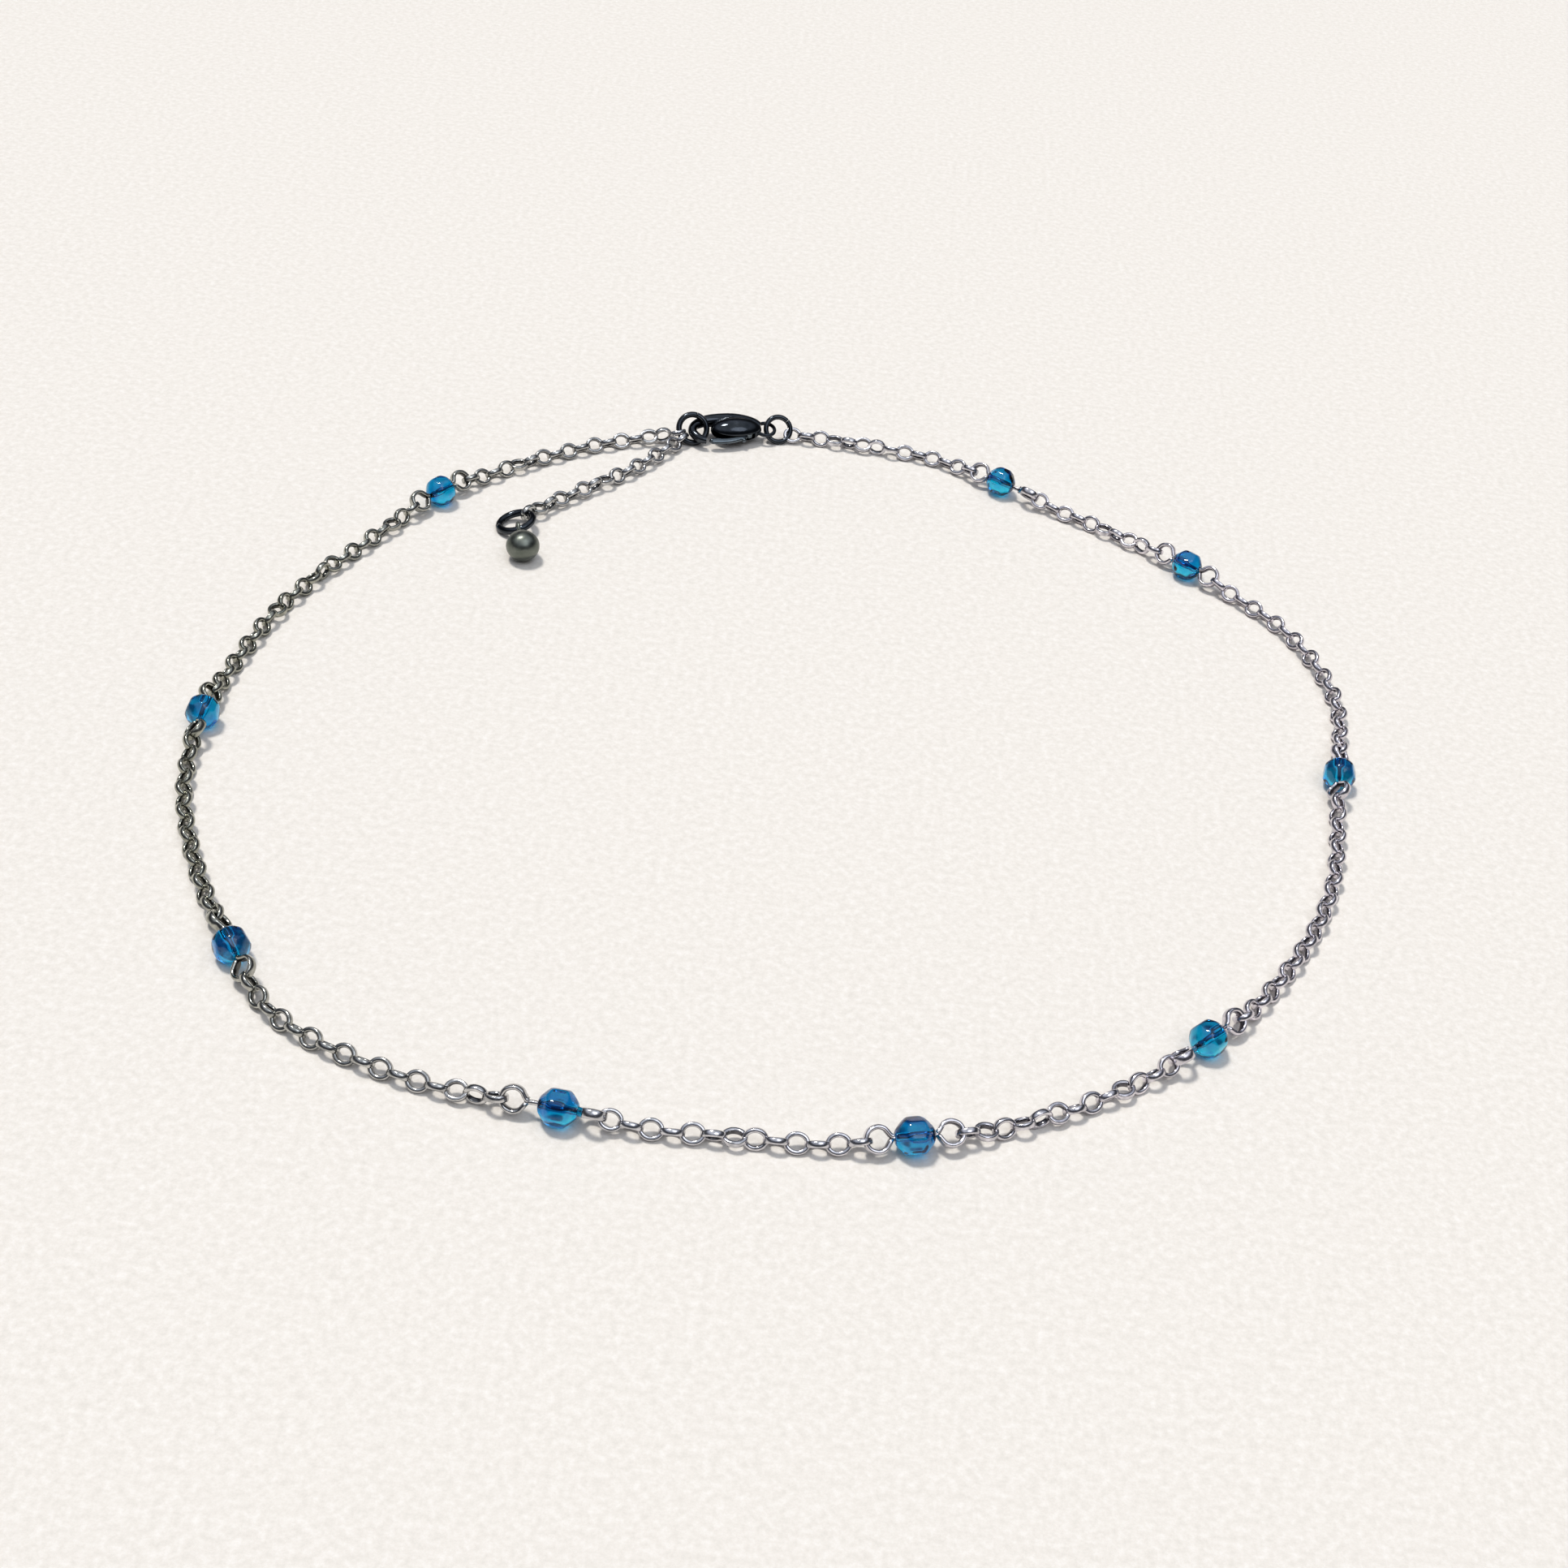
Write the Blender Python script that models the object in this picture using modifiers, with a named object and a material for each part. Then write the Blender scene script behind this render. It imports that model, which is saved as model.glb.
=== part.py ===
"""Beaded chain necklace lying closed on a flat surface.

Fine cable chain in ten stretches joins nine faceted glass beads on eye pins.
A lobster clasp closes the loop on a catch ring, which also carries an extender
of the same chain with an end ring and a small drop. Lengths are in metres, +Z is
up, and the surface the necklace lies on is z = 0.
"""

import math
from collections import namedtuple

import bmesh
import bpy
import numpy as np
from mathutils import Matrix, Vector

MM = 0.001

Stretch = namedtuple("Stretch", "name links first_roll made_as")
Twist = namedtuple("Twist", "name after_link turn")
Bead = namedtuple("Bead", "span slide")

# Cable chain
LINK_LENGTH = 2.75 * MM
LINK_WIDTH = 2.40 * MM
LINK_WIRE = 0.32 * MM
LINK_WIRE_DEPTH = 0.50 * MM
LINK_BEDDING = 0.06 * MM
LINK_ROLL = 45.0
LINK_SIDES = 10
LINK_WIRE_SIDES = 5
CHAIN_TUBE_GAP = 0.3 * MM
CHAIN_TUBE_STEP = 4.4 * MM

# Glass beads
BEAD_DIAMETER = 4.0 * MM
BEAD_LENGTH = 3.8 * MM
BEAD_BORE = 1.0 * MM
BEAD_FACETS = 10

# Eye pins
PIN_WIRE = 0.50 * MM
PIN_EYE_OUTER = 3.10 * MM
PIN_SPAN = 8.0 * MM
EYE_SIDES = 10
EYE_WIRE_SIDES = 5
PIN_SHAFT_SIDES = 8
HOOK_GAP = 0.20 * MM
CATCH_TUBE_TIP = 0.8 * MM

# Rings
CATCH_RING_OUTER = 4.9 * MM
CATCH_RING_WIRE = 0.80 * MM
CLASP_RING_OUTER = 4.3 * MM
CLASP_RING_WIRE = 0.66 * MM
END_RING_OUTER = 5.6 * MM
END_RING_WIRE = 0.90 * MM
RING_LEAN = 38.0
CATCH_RING_HOOK = 190.0
EXTENDER_HOOK = 222.0
CLASP_RING_HOOK = -25.0
END_RING_TILT = 17.0
END_RING_HOOK = 59.0
RING_SIDES = 14
RING_WIRE_SIDES = 6
HUB_SIDES = 16
RIVET_SIDES = 12
KNOB_SIDES = (10, 6)

# Lobster clasp, along its own X from the claw to the tail
CLASP_LENGTH = 13.0 * MM
CLASP_BELLY_LENGTH = 5.4 * MM
CLASP_BELLY_WIDTH = 4.1 * MM
CLASP_THICKNESS = 3.2 * MM
CLASP_BELLY_X = 1.6 * MM
CLASP_BELLY_Y = 0.1 * MM
CLAW_WIRE = 1.0 * MM
CLASP_WIDTH = 6.0 * MM
CLASP_ROLL = 12.0
TAIL_EYE_OUTER = 3.20 * MM
TAIL_EYE_WIRE = 0.56 * MM
LEVER_THICKNESS = 0.76 * MM
LEVER_HUB = 1.5 * MM
LEVER_PIVOT_X = 2.2 * MM
LEVER_PIVOT_Y = -0.75 * MM
LEVER_TIP_GAP = 0.25 * MM
LEVER_SIDE_GAP = 0.13 * MM
RIVET = 0.50 * MM
RIVET_INSET = 0.40 * MM
RIVET_GAP = 0.10 * MM
KNOB = 0.70 * MM
KNOB_ALONG = 0.078 * MM
KNOB_DROP = 0.66 * MM
CLAW_RING_GAP = 0.55 * MM

# End drop
DROP_DIAMETER = 4.1 * MM
DROP_LENGTH = 6.4 * MM
DROP_EYE_WIRE = 0.50 * MM
DROP_EYE_GAP = 0.22 * MM
DROP_SIDES = 12

# Route of the whole loop, seen from above, in mm: from the catch ring round by
# the beads to the clasp ring. Its length is set by what is strung on it.
LOOP_ROUTE = [
    (-21.1, 78.5), (-31.5, 74.0), (-43.0, 64.8), (-51.7, 54.8), (-59.5, 40.5),
    (-66.0, 26.0), (-69.2, 12.0), (-70.3, -1.0), (-69.0, -14.5), (-64.5, -27.0),
    (-57.0, -40.8), (-50.0, -50.0), (-38.0, -55.9), (-19.3, -59.6), (0.0, -60.0),
    (17.1, -58.1), (33.0, -51.0), (48.8, -38.5), (59.0, -24.3), (65.5, -9.0),
    (68.5, 12.5), (70.2, 30.0), (65.0, 45.0), (53.1, 56.8), (40.5, 66.2),
    (27.0, 73.7), (17.0, 80.2), (8.0, 81.6), (-5.4, 82.3),
]

# Route of the extender from the catch ring to its end ring, in mm
EXTENDER_ROUTE = [
    (-20.5, 77.6), (-22.3, 74.3), (-26.9, 66.9), (-31.7, 61.2), (-36.6, 55.4), (-39.8, 50.9),
]

# One row for each stretch of chain, in order round the loop: how many links, the
# roll of the first one, and whether its links or one tube of their size are made.
STRETCHES = [
    Stretch("chain_1", 17, -LINK_ROLL, "tube"),
    Stretch("chain_2", 24, -LINK_ROLL, "tube"),
    Stretch("chain_3", 16, LINK_ROLL, "tube"),
    Stretch("chain_4", 16, LINK_ROLL, "links"),
    Stretch("chain_5", 13, -LINK_ROLL, "links"),
    Stretch("chain_6", 13, LINK_ROLL, "links"),
    Stretch("chain_7", 22, LINK_ROLL, "tube"),
    Stretch("chain_8", 20, LINK_ROLL, "tube"),
    Stretch("chain_9", 10, -LINK_ROLL, "links"),
    Stretch("chain_10", 14, -LINK_ROLL, "tube"),
]
EXTENDER = Stretch("extender_chain", 16, -55.0, "links")

# Where a stretch twists: after which link, and by how many degrees in all
TWISTS = [
    Twist("chain_1", 2, 90.0), Twist("chain_1", 13, -90.0),
    Twist("chain_2", 3, 90.0), Twist("chain_2", 10, -90.0), Twist("chain_2", 15, 90.0),
    Twist("chain_4", 15, 90.0), Twist("chain_5", 7, 90.0),
    Twist("chain_6", 2, 90.0), Twist("chain_6", 5, -90.0), Twist("chain_6", 10, 90.0),
    Twist("chain_9", 2, 90.0), Twist("chain_9", 5, -90.0),
    Twist("chain_10", 8, 90.0), Twist("chain_10", 11, -90.0),
    Twist("extender_chain", 9, 90.0), Twist("extender_chain", 14, -35.0),
]
TWIST_SPREAD = 3

# One row for each bead: the span of its pin as a share of PIN_SPAN, and how far
# the bead has slid along it as a share of the free play, towards the later eye.
BEADS = [
    Bead(0.98, 0.0), Bead(0.90, 0.0), Bead(1.00, 0.0), Bead(1.02, 0.9), Bead(0.96, 0.0),
    Bead(1.12, 0.0), Bead(0.96, -0.8), Bead(0.93, 0.0), Bead(1.05, 0.9),
]

# Share of the drop from a bead's height to the chain's at the first links
SETTLING = (0.40, 0.80, 0.97)

# Bead profile: radius and height as shares of half its diameter and length
BEAD_PROFILE = [(0.44, 1.0), (0.76, 0.72), (1.0, 0.29), (1.0, -0.29), (0.76, -0.72), (0.44, -1.0)]

# Claw and lever centre lines: X from the claw end as a share of CLASP_LENGTH, Y
# as a share of half CLASP_WIDTH, and thickness as a share of CLAW_WIRE
CLAW_LINE = [
    (0.196, -0.73, 0.76), (0.123, -0.635, 0.90), (0.067, -0.365, 1.0), (0.0385, 0.0, 1.0),
    (0.067, 0.365, 1.05), (0.138, 0.615, 1.2), (0.238, 0.75, 1.4), (0.362, 0.77, 1.6),
    (0.50, 0.673, 1.9), (0.638, 0.48, 2.0), (0.746, 0.27, 1.8), (0.815, 0.115, 1.3),
]
LEVER_LINE = [(0.594, -0.52), (0.50, -0.67), (0.40, -0.75), (0.30, -0.75)]

# Drop profile: distance from the neck and radius, as shares of length and radius
DROP_PROFILE = [
    (0.0, 0.17), (0.12, 0.32), (0.30, 0.63), (0.48, 0.89), (0.64, 1.0),
    (0.80, 0.91), (0.93, 0.58),
]
DROP_WIDEST = 0.64
DROP_HEADING = -74.0

COLOURS = {
    "blue_glass": ((0.0, 0.13, 0.42, 1.0), 0.05, 0.0),
    "steel": ((0.55, 0.55, 0.54, 1.0), 0.22, 1.0),
    "dark_metal": ((0.05, 0.052, 0.055, 1.0), 0.25, 1.0),
    "polished_drop": ((0.15, 0.165, 0.145, 1.0), 0.28, 1.0),
}

WELD = 1e-6


# Values that follow from the sizes
def section_growth(sides):
    """How much wider a polygon is than the round wire of the same area."""
    return math.sqrt(2 * math.pi / (sides * math.sin(2 * math.pi / sides)))


LINK_RADIUS = LINK_WIRE / 2 * section_growth(LINK_WIRE_SIDES)
LINK_STRETCH = 2 * LINK_LENGTH / (LINK_LENGTH + LINK_WIDTH)
LINK_END = LINK_RADIUS * LINK_STRETCH * (1 + math.cos(math.pi / LINK_WIRE_SIDES))
PITCH = LINK_LENGTH - 2 * LINK_END + LINK_BEDDING
BEAD_HEIGHT = BEAD_DIAMETER / 2 * math.cos(math.pi / BEAD_FACETS)
LEAN = math.radians(RING_LEAN)
CATCH_RING_MEAN = (CATCH_RING_OUTER - CATCH_RING_WIRE) / 2
CLASP_RING_MEAN = (CLASP_RING_OUTER - CLASP_RING_WIRE) / 2
END_RING_MEAN = (END_RING_OUTER - END_RING_WIRE) / 2
RING_GROWTH = section_growth(RING_WIRE_SIDES)
CATCH_RING_HEIGHT = CATCH_RING_MEAN * math.cos(LEAN) + CATCH_RING_WIRE / 2 * RING_GROWTH
CLASP_RING_HEIGHT = CLASP_RING_MEAN * math.cos(LEAN) + CLASP_RING_WIRE / 2 * RING_GROWTH
END_RING_LIFT = END_RING_MEAN * math.sin(math.radians(END_RING_TILT))
END_RING_HEIGHT = END_RING_LIFT + END_RING_WIRE / 2 * RING_GROWTH

# Where the two rings sit in the clasp, along and across it
CATCH_RING_IN_CLASP = (-CLASP_LENGTH / 2 + 0.6 * MM, 0.4 * MM)
CLASP_RING_IN_CLASP = (CLASP_LENGTH / 2 + 0.30 * MM, 0.0)


def hook(wire):
    """Distance from the middle of a round wire to the middle of a link hooked on it."""
    return LINK_LENGTH / 2 - LINK_END - HOOK_GAP - wire / 2


def ring_offset(mean, turn):
    """A place on a leaning ring's wire, from its middle, as the clasp sees it."""
    angle = math.radians(turn)
    rise = mean * math.sin(angle)
    return Vector((mean * math.cos(angle), rise * math.sin(LEAN), rise * math.cos(LEAN)))


# Paths on the ground
def smooth(points, closed, steps=24):
    """A curve through the points: centripetal Catmull-Rom, read at many steps."""
    knots = [Vector(p) * MM for p in points]
    count = len(knots)
    if closed:
        ends = [knots[-1]] + knots + knots[:2]
    else:
        ends = [2 * knots[0] - knots[1]] + knots + [2 * knots[-1] - knots[-2]]
    out = []
    for i in range(count if closed else count - 1):
        p0, p1, p2, p3 = ends[i:i + 4]
        t1 = (p1 - p0).length ** 0.5
        t2 = t1 + (p2 - p1).length ** 0.5
        t3 = t2 + (p3 - p2).length ** 0.5
        for k in range(steps):
            t = t1 + (t2 - t1) * k / steps
            a1 = p0.lerp(p1, t / t1)
            a2 = p1.lerp(p2, (t - t1) / (t2 - t1))
            a3 = p2.lerp(p3, (t - t2) / (t3 - t2))
            b1 = a1.lerp(a2, t / t2)
            b2 = a2.lerp(a3, (t - t1) / (t3 - t1))
            out.append(b1.lerp(b2, (t - t1) / (t2 - t1)))
    out.append(out[0].copy() if closed else knots[-1])
    return np.array([tuple(p) for p in out])


class Path:
    """A curve on the ground, scaled to a length: a closed one about its middle."""

    def __init__(self, points, length, closed):
        curve = smooth(points, closed)
        raw = np.concatenate([[0], np.cumsum(np.linalg.norm(np.diff(curve, axis=0), axis=1))])
        size = length / raw[-1]
        middle = curve[:-1].mean(axis=0) if closed else curve[0]
        self.curve = middle + (curve - middle) * size
        self.along = raw * size

    def move(self, shift):
        self.curve = self.curve + np.array(tuple(shift))

    def at(self, distance):
        x = np.interp(distance, self.along, self.curve[:, 0])
        y = np.interp(distance, self.along, self.curve[:, 1])
        return float(x), float(y)


# Frames
def link_frame(along, roll, place):
    """A link's placement: X along the chain, Z square to the link, turned by roll."""
    x = Vector(along).normalized()
    side = Vector((0, 0, 1)).cross(x).normalized()
    up = x.cross(side)
    angle = math.radians(roll)
    z = math.cos(angle) * up + math.sin(angle) * side
    y = z.cross(x)
    turn = Matrix((x, y, z)).transposed()
    return Matrix.Translation(place) @ turn.to_4x4()


def turned_frame(along, place, spin):
    """A turned piece's placement: Z along the piece, spun about it by an angle."""
    z = Vector(along).normalized()
    side = Vector((0, 0, 1)).cross(z).normalized()
    up = z.cross(side)
    turn = Matrix((up, -side, z)).transposed() @ Matrix.Rotation(spin, 3, "Z")
    return Matrix.Translation(place) @ turn.to_4x4()


# Meshes
def mesh_from_bmesh(name, bm):
    mesh = bpy.data.meshes.new(name)
    bm.to_mesh(mesh)
    bm.free()
    return mesh


def ring_mesh(name, mean_radius, wire, sides, wire_sides):
    """A ring of round wire in the XY plane."""
    bpy.ops.mesh.primitive_torus_add(
        major_segments=sides, minor_segments=wire_sides,
        major_radius=mean_radius, minor_radius=wire / 2 * section_growth(wire_sides))
    ring = bpy.context.object
    mesh = ring.data
    mesh.name = name
    bpy.data.objects.remove(ring)
    return mesh


def link_mesh():
    """One oval link, its long side along X and its thickness along Z."""
    mean = (LINK_LENGTH + LINK_WIDTH) / 4
    mesh = ring_mesh("link", mean - LINK_RADIUS, LINK_WIRE, LINK_SIDES, LINK_WIRE_SIDES)
    mesh.transform(Matrix.Diagonal(
        (LINK_LENGTH / 2 / mean, LINK_WIDTH / 2 / mean, LINK_WIRE_DEPTH / LINK_WIRE, 1)))
    return mesh


def joined(name, placed):
    """One mesh from pairs of a mesh and its placement."""
    bm = bmesh.new()
    for mesh, place in placed:
        copy = mesh.copy()
        copy.transform(place)
        bm.from_mesh(copy)
        bpy.data.meshes.remove(copy)
    return mesh_from_bmesh(name, bm)


def cylinder_mesh(name, radius, length, sides, place=Matrix.Identity(4)):
    bm = bmesh.new()
    bmesh.ops.create_cone(bm, cap_ends=True, segments=sides, radius1=radius, radius2=radius,
                          depth=length, matrix=place)
    return mesh_from_bmesh(name, bm)


def ball_mesh(name, half_sizes, place, around=14, rows=8):
    bm = bmesh.new()
    scale = Matrix.Diagonal((*half_sizes, 1))
    bmesh.ops.create_uvsphere(bm, u_segments=around, v_segments=rows, radius=1, matrix=place @ scale)
    return mesh_from_bmesh(name, bm)


def box_mesh(name, low, high):
    bm = bmesh.new()
    low, high = Vector(low), Vector(high)
    place = Matrix.Translation((low + high) / 2) @ Matrix.Diagonal((*(high - low), 1))
    bmesh.ops.create_cube(bm, size=1, matrix=place)
    return mesh_from_bmesh(name, bm)


def wire_curve(name, points, radii, resolution=2):
    """A round wire through the points, with its own radius at each."""
    curve = bpy.data.curves.new(name, "CURVE")
    curve.dimensions = "3D"
    curve.bevel_depth = 1.0
    curve.bevel_resolution = resolution
    curve.use_fill_caps = True
    spline = curve.splines.new("POLY")
    spline.points.add(len(points) - 1)
    for knot, point, radius in zip(spline.points, points, radii):
        knot.co = (*point, 1)
        knot.radius = radius
    return curve


def wire_mesh(name, points, radii, resolution=2):
    """The same wire as a closed mesh."""
    holder = bpy.data.objects.new(name, wire_curve(name, points, radii, resolution))
    bpy.context.scene.collection.objects.link(holder)
    bpy.context.view_layer.update()
    evaluated = holder.evaluated_get(bpy.context.evaluated_depsgraph_get())
    mesh = bpy.data.meshes.new_from_object(evaluated)
    bpy.data.objects.remove(holder)
    bm = bmesh.new()
    bm.from_mesh(mesh)
    bmesh.ops.remove_doubles(bm, verts=bm.verts, dist=WELD)
    bm.to_mesh(mesh)
    bm.free()
    return mesh


# Objects
def new_collection(name):
    collection = bpy.data.collections.new(name)
    bpy.context.scene.collection.children.link(collection)
    return collection


def material(name):
    found = bpy.data.materials.get(name)
    if found:
        return found
    colour, roughness, metallic = COLOURS[name]
    made = bpy.data.materials.new(name)
    made.use_nodes = True
    shader = made.node_tree.nodes["Principled BSDF"]
    shader.inputs["Base Color"].default_value = colour
    shader.inputs["Roughness"].default_value = roughness
    shader.inputs["Metallic"].default_value = metallic
    made.diffuse_color = colour
    return made


def add_part(name, data, finish, place=Matrix.Identity(4), parent=None):
    """A named sub-part with its own material, placed in the world or on a parent."""
    part = bpy.data.objects.new(name, data)
    own = material(finish).copy()
    own.name = name + "_finish"
    data.materials.clear()
    data.materials.append(own)
    parts.objects.link(part)
    part.parent = parent or whole
    part.matrix_basis = place
    return part


def add_place(name, place=Matrix.Identity(4), parent=None):
    """An empty that carries the pieces set out from it."""
    empty = bpy.data.objects.new(name, None)
    parts.objects.link(empty)
    empty.parent = parent
    empty.matrix_basis = place
    return empty


def add_cutter(name, mesh, parent=None, place=Matrix.Identity(4)):
    cutter = bpy.data.objects.new(name, mesh)
    cutter.hide_render = True
    cutter.display_type = "WIRE"
    cutters.objects.link(cutter)
    cutter.parent = parent or whole
    cutter.matrix_basis = place
    return cutter


def combine(part, cutter, operation):
    """Joins the cutter to the part, or takes it away, with an exact Boolean."""
    step = part.modifiers.new(cutter.name, "BOOLEAN")
    step.operation = operation
    step.object = cutter
    step.solver = "EXACT"


def smooth_round(mesh, angle=40.0):
    mesh.shade_smooth()
    mesh.set_sharp_from_angle(angle=math.radians(angle))


# Layout
def link_rolls(stretch):
    """The roll of each link: a quarter turn from the last, plus the chain's twists."""
    rolls = []
    for i in range(stretch.links):
        roll = stretch.first_roll + 90.0 * i
        for twist in TWISTS:
            if twist.name == stretch.name:
                done = (i + 1 - twist.after_link) / TWIST_SPREAD + 0.5
                roll += twist.turn * min(max(done, 0.0), 1.0)
        rolls.append(roll)
    return rolls


def reach_below(mesh, roll):
    """How far a level link reaches below its own middle."""
    frame = link_frame((1, 0, 0), roll, (0, 0, 0))
    return -min((frame @ v.co).z for v in mesh.vertices)


def link_heights(mesh, rolls, start_height, end_height):
    """Each link's height: on the ground, but led up to what each end hangs on."""
    ground = [reach_below(mesh, roll) for roll in rolls]
    count = len(rolls)
    heights = []
    for i in range(count):
        rest = max(ground[max(i - 1, 0):i + 2])
        for steps, end in ((i, start_height), (count - 1 - i, end_height)):
            if steps < len(SETTLING):
                rest = max(rest, end + (rest - end) * SETTLING[steps])
        heights.append(rest)
    return heights


class Laid:
    """A stretch as it lies: rolls, heights and distances along the ground."""

    def __init__(self, mesh, stretch, distance, start, end):
        self.stretch = stretch
        self.rolls = link_rolls(stretch)
        (start_height, start_hook), (end_height, end_hook) = start, end
        self.heights = link_heights(mesh, self.rolls, start_height, end_height)
        levels = [start_height] + self.heights + [end_height]
        lengths = [start_hook] + [PITCH] * (stretch.links - 1) + [end_hook]
        steps = [math.sqrt(run ** 2 - (b - a) ** 2) for run, a, b in zip(lengths, levels, levels[1:])]
        places = distance + np.cumsum(steps)
        self.start = distance
        self.places = list(places[:-1])
        self.end = float(places[-1])
        self.end_heights = (start_height, end_height)

    def ends(self, path):
        start = Vector((*path.at(self.start), self.end_heights[0]))
        return start, Vector((*path.at(self.end), self.end_heights[1]))

    def frames(self, path):
        """Placements of the links, each aimed along the line of its neighbours."""
        start, end = self.ends(path)
        middles = [Vector((*path.at(d), h)) for d, h in zip(self.places, self.heights)]
        line = [start] + middles + [end]
        return [link_frame(c - a, roll, b) for a, b, c, roll in zip(line, middles, line[2:], self.rolls)]


# Chains
def make_chain(laid, mesh, path, trims, tip=None):
    """One stretch: links fused where they bear on each other, or a tube of their size.

    A tube may start on a thinner tip, where a second chain leaves the same ring.
    """
    name = laid.stretch.name
    frames = laid.frames(path)
    if laid.stretch.made_as == "links":
        chain = add_part(name, joined(name, [(mesh, f) for f in frames[0::2]]), "steel")
        others = joined(name + "_others", [(mesh, f) for f in frames[1::2]])
        combine(chain, add_cutter(name + "_others", others), "UNION")
        return chain
    start, end = laid.ends(path)
    points = tube_points([start] + [f.translation for f in frames] + [end], trims)
    reach = reach_below(mesh, LINK_ROLL)
    radii = [tip / 2 if tip else reach] + [reach] * (len(points) - 1)
    return add_part(name, wire_curve(name, points, radii), "steel")


def tube_points(line, trims):
    """Even points along a line of places, stopping short of both its ends."""
    xyz = np.array([tuple(p) for p in line])
    along = np.concatenate([[0], np.cumsum(np.linalg.norm(np.diff(xyz, axis=0), axis=1))])
    low, high = trims[0], along[-1] - trims[1]
    count = max(2, round((high - low) / CHAIN_TUBE_STEP) + 1)
    return [tuple(np.interp(d, along, xyz[:, axis]) for axis in range(3))
            for d in np.linspace(low, high, count)]


# Beads and their pins
def bead_mesh(name):
    """Half of the bead's section, ready to be turned about Z."""
    outer = [(r * BEAD_DIAMETER / 2, z * BEAD_LENGTH / 2) for r, z in BEAD_PROFILE]
    bore = [(BEAD_BORE / 2, outer[-1][1]), (BEAD_BORE / 2, outer[0][1])]
    return section_mesh(name, outer + bore, closed=True)


def section_mesh(name, profile, closed):
    """A section in the XZ plane as bare edges."""
    mesh = bpy.data.meshes.new(name)
    count = len(profile)
    edges = [(i, (i + 1) % count) for i in range(count if closed else count - 1)]
    mesh.from_pydata([(x, 0, z) for x, z in profile], edges, [])
    return mesh


def turn_section(part, sides):
    screw = part.modifiers.new("turned", "SCREW")
    screw.axis = "Z"
    screw.angle = 2 * math.pi
    screw.steps = sides
    screw.render_steps = sides
    screw.use_merge_vertices = True
    screw.merge_threshold = WELD
    screw.use_smooth_shade = False


def make_bead(number, before, after, slide):
    """A faceted bead on its pin, a facet down, slid along the free play of the pin."""
    along = after - before
    play = along.length / 2 - PIN_EYE_OUTER / 2 - BEAD_LENGTH / 2
    middle = (before + after) / 2 + along.normalized() * play * slide
    name = f"bead_{number}"
    frame = turned_frame(along, middle, math.pi / BEAD_FACETS)
    bead = add_part(name, bead_mesh(name), "blue_glass", frame)
    turn_section(bead, BEAD_FACETS)
    return bead


def make_eye_pin(number, before, after, first_roll, second_roll):
    """A straight wire through the bead with an eye at each end."""
    name = f"eye_pin_{number}"
    mean = (PIN_EYE_OUTER - PIN_WIRE) / 2
    frame = link_frame(after - before, 0, (before + after) / 2)
    half = (after - before).length / 2
    shaft = cylinder_mesh(name, PIN_WIRE / 2, 2 * (half - mean), PIN_SHAFT_SIDES,
                          Matrix.Rotation(math.pi / 2, 4, "Y"))
    pin = add_part(name, shaft, "steel", frame)
    eye = ring_mesh(name + "_eye", mean, PIN_WIRE, EYE_SIDES, EYE_WIRE_SIDES)
    ends = ((-half, first_roll), (half, second_roll))
    eyes = joined(name + "_eyes", [(eye, link_frame((1, 0, 0), roll, (x, 0, 0))) for x, roll in ends])
    combine(pin, add_cutter(name + "_eyes", eyes, place=frame), "UNION")
    return pin


# Rings
def make_ring(name, mean, wire, place):
    ring = ring_mesh(name, mean, wire, RING_SIDES, RING_WIRE_SIDES)
    smooth_round(ring)
    return add_part(name, ring, "dark_metal", place)


def leaning_ring(name, mean, wire, place, turn):
    """A ring standing on the ground and leaning back by RING_LEAN."""
    lean = Matrix.Rotation(math.pi / 2 - LEAN, 4, "X")
    return make_ring(name, mean, wire, Matrix.Translation(place) @ turn @ lean)


# Clasp
def clasp_point(x_share, y_share):
    return (-CLASP_LENGTH / 2 + x_share * CLASP_LENGTH, y_share * CLASP_WIDTH / 2, 0)


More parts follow.
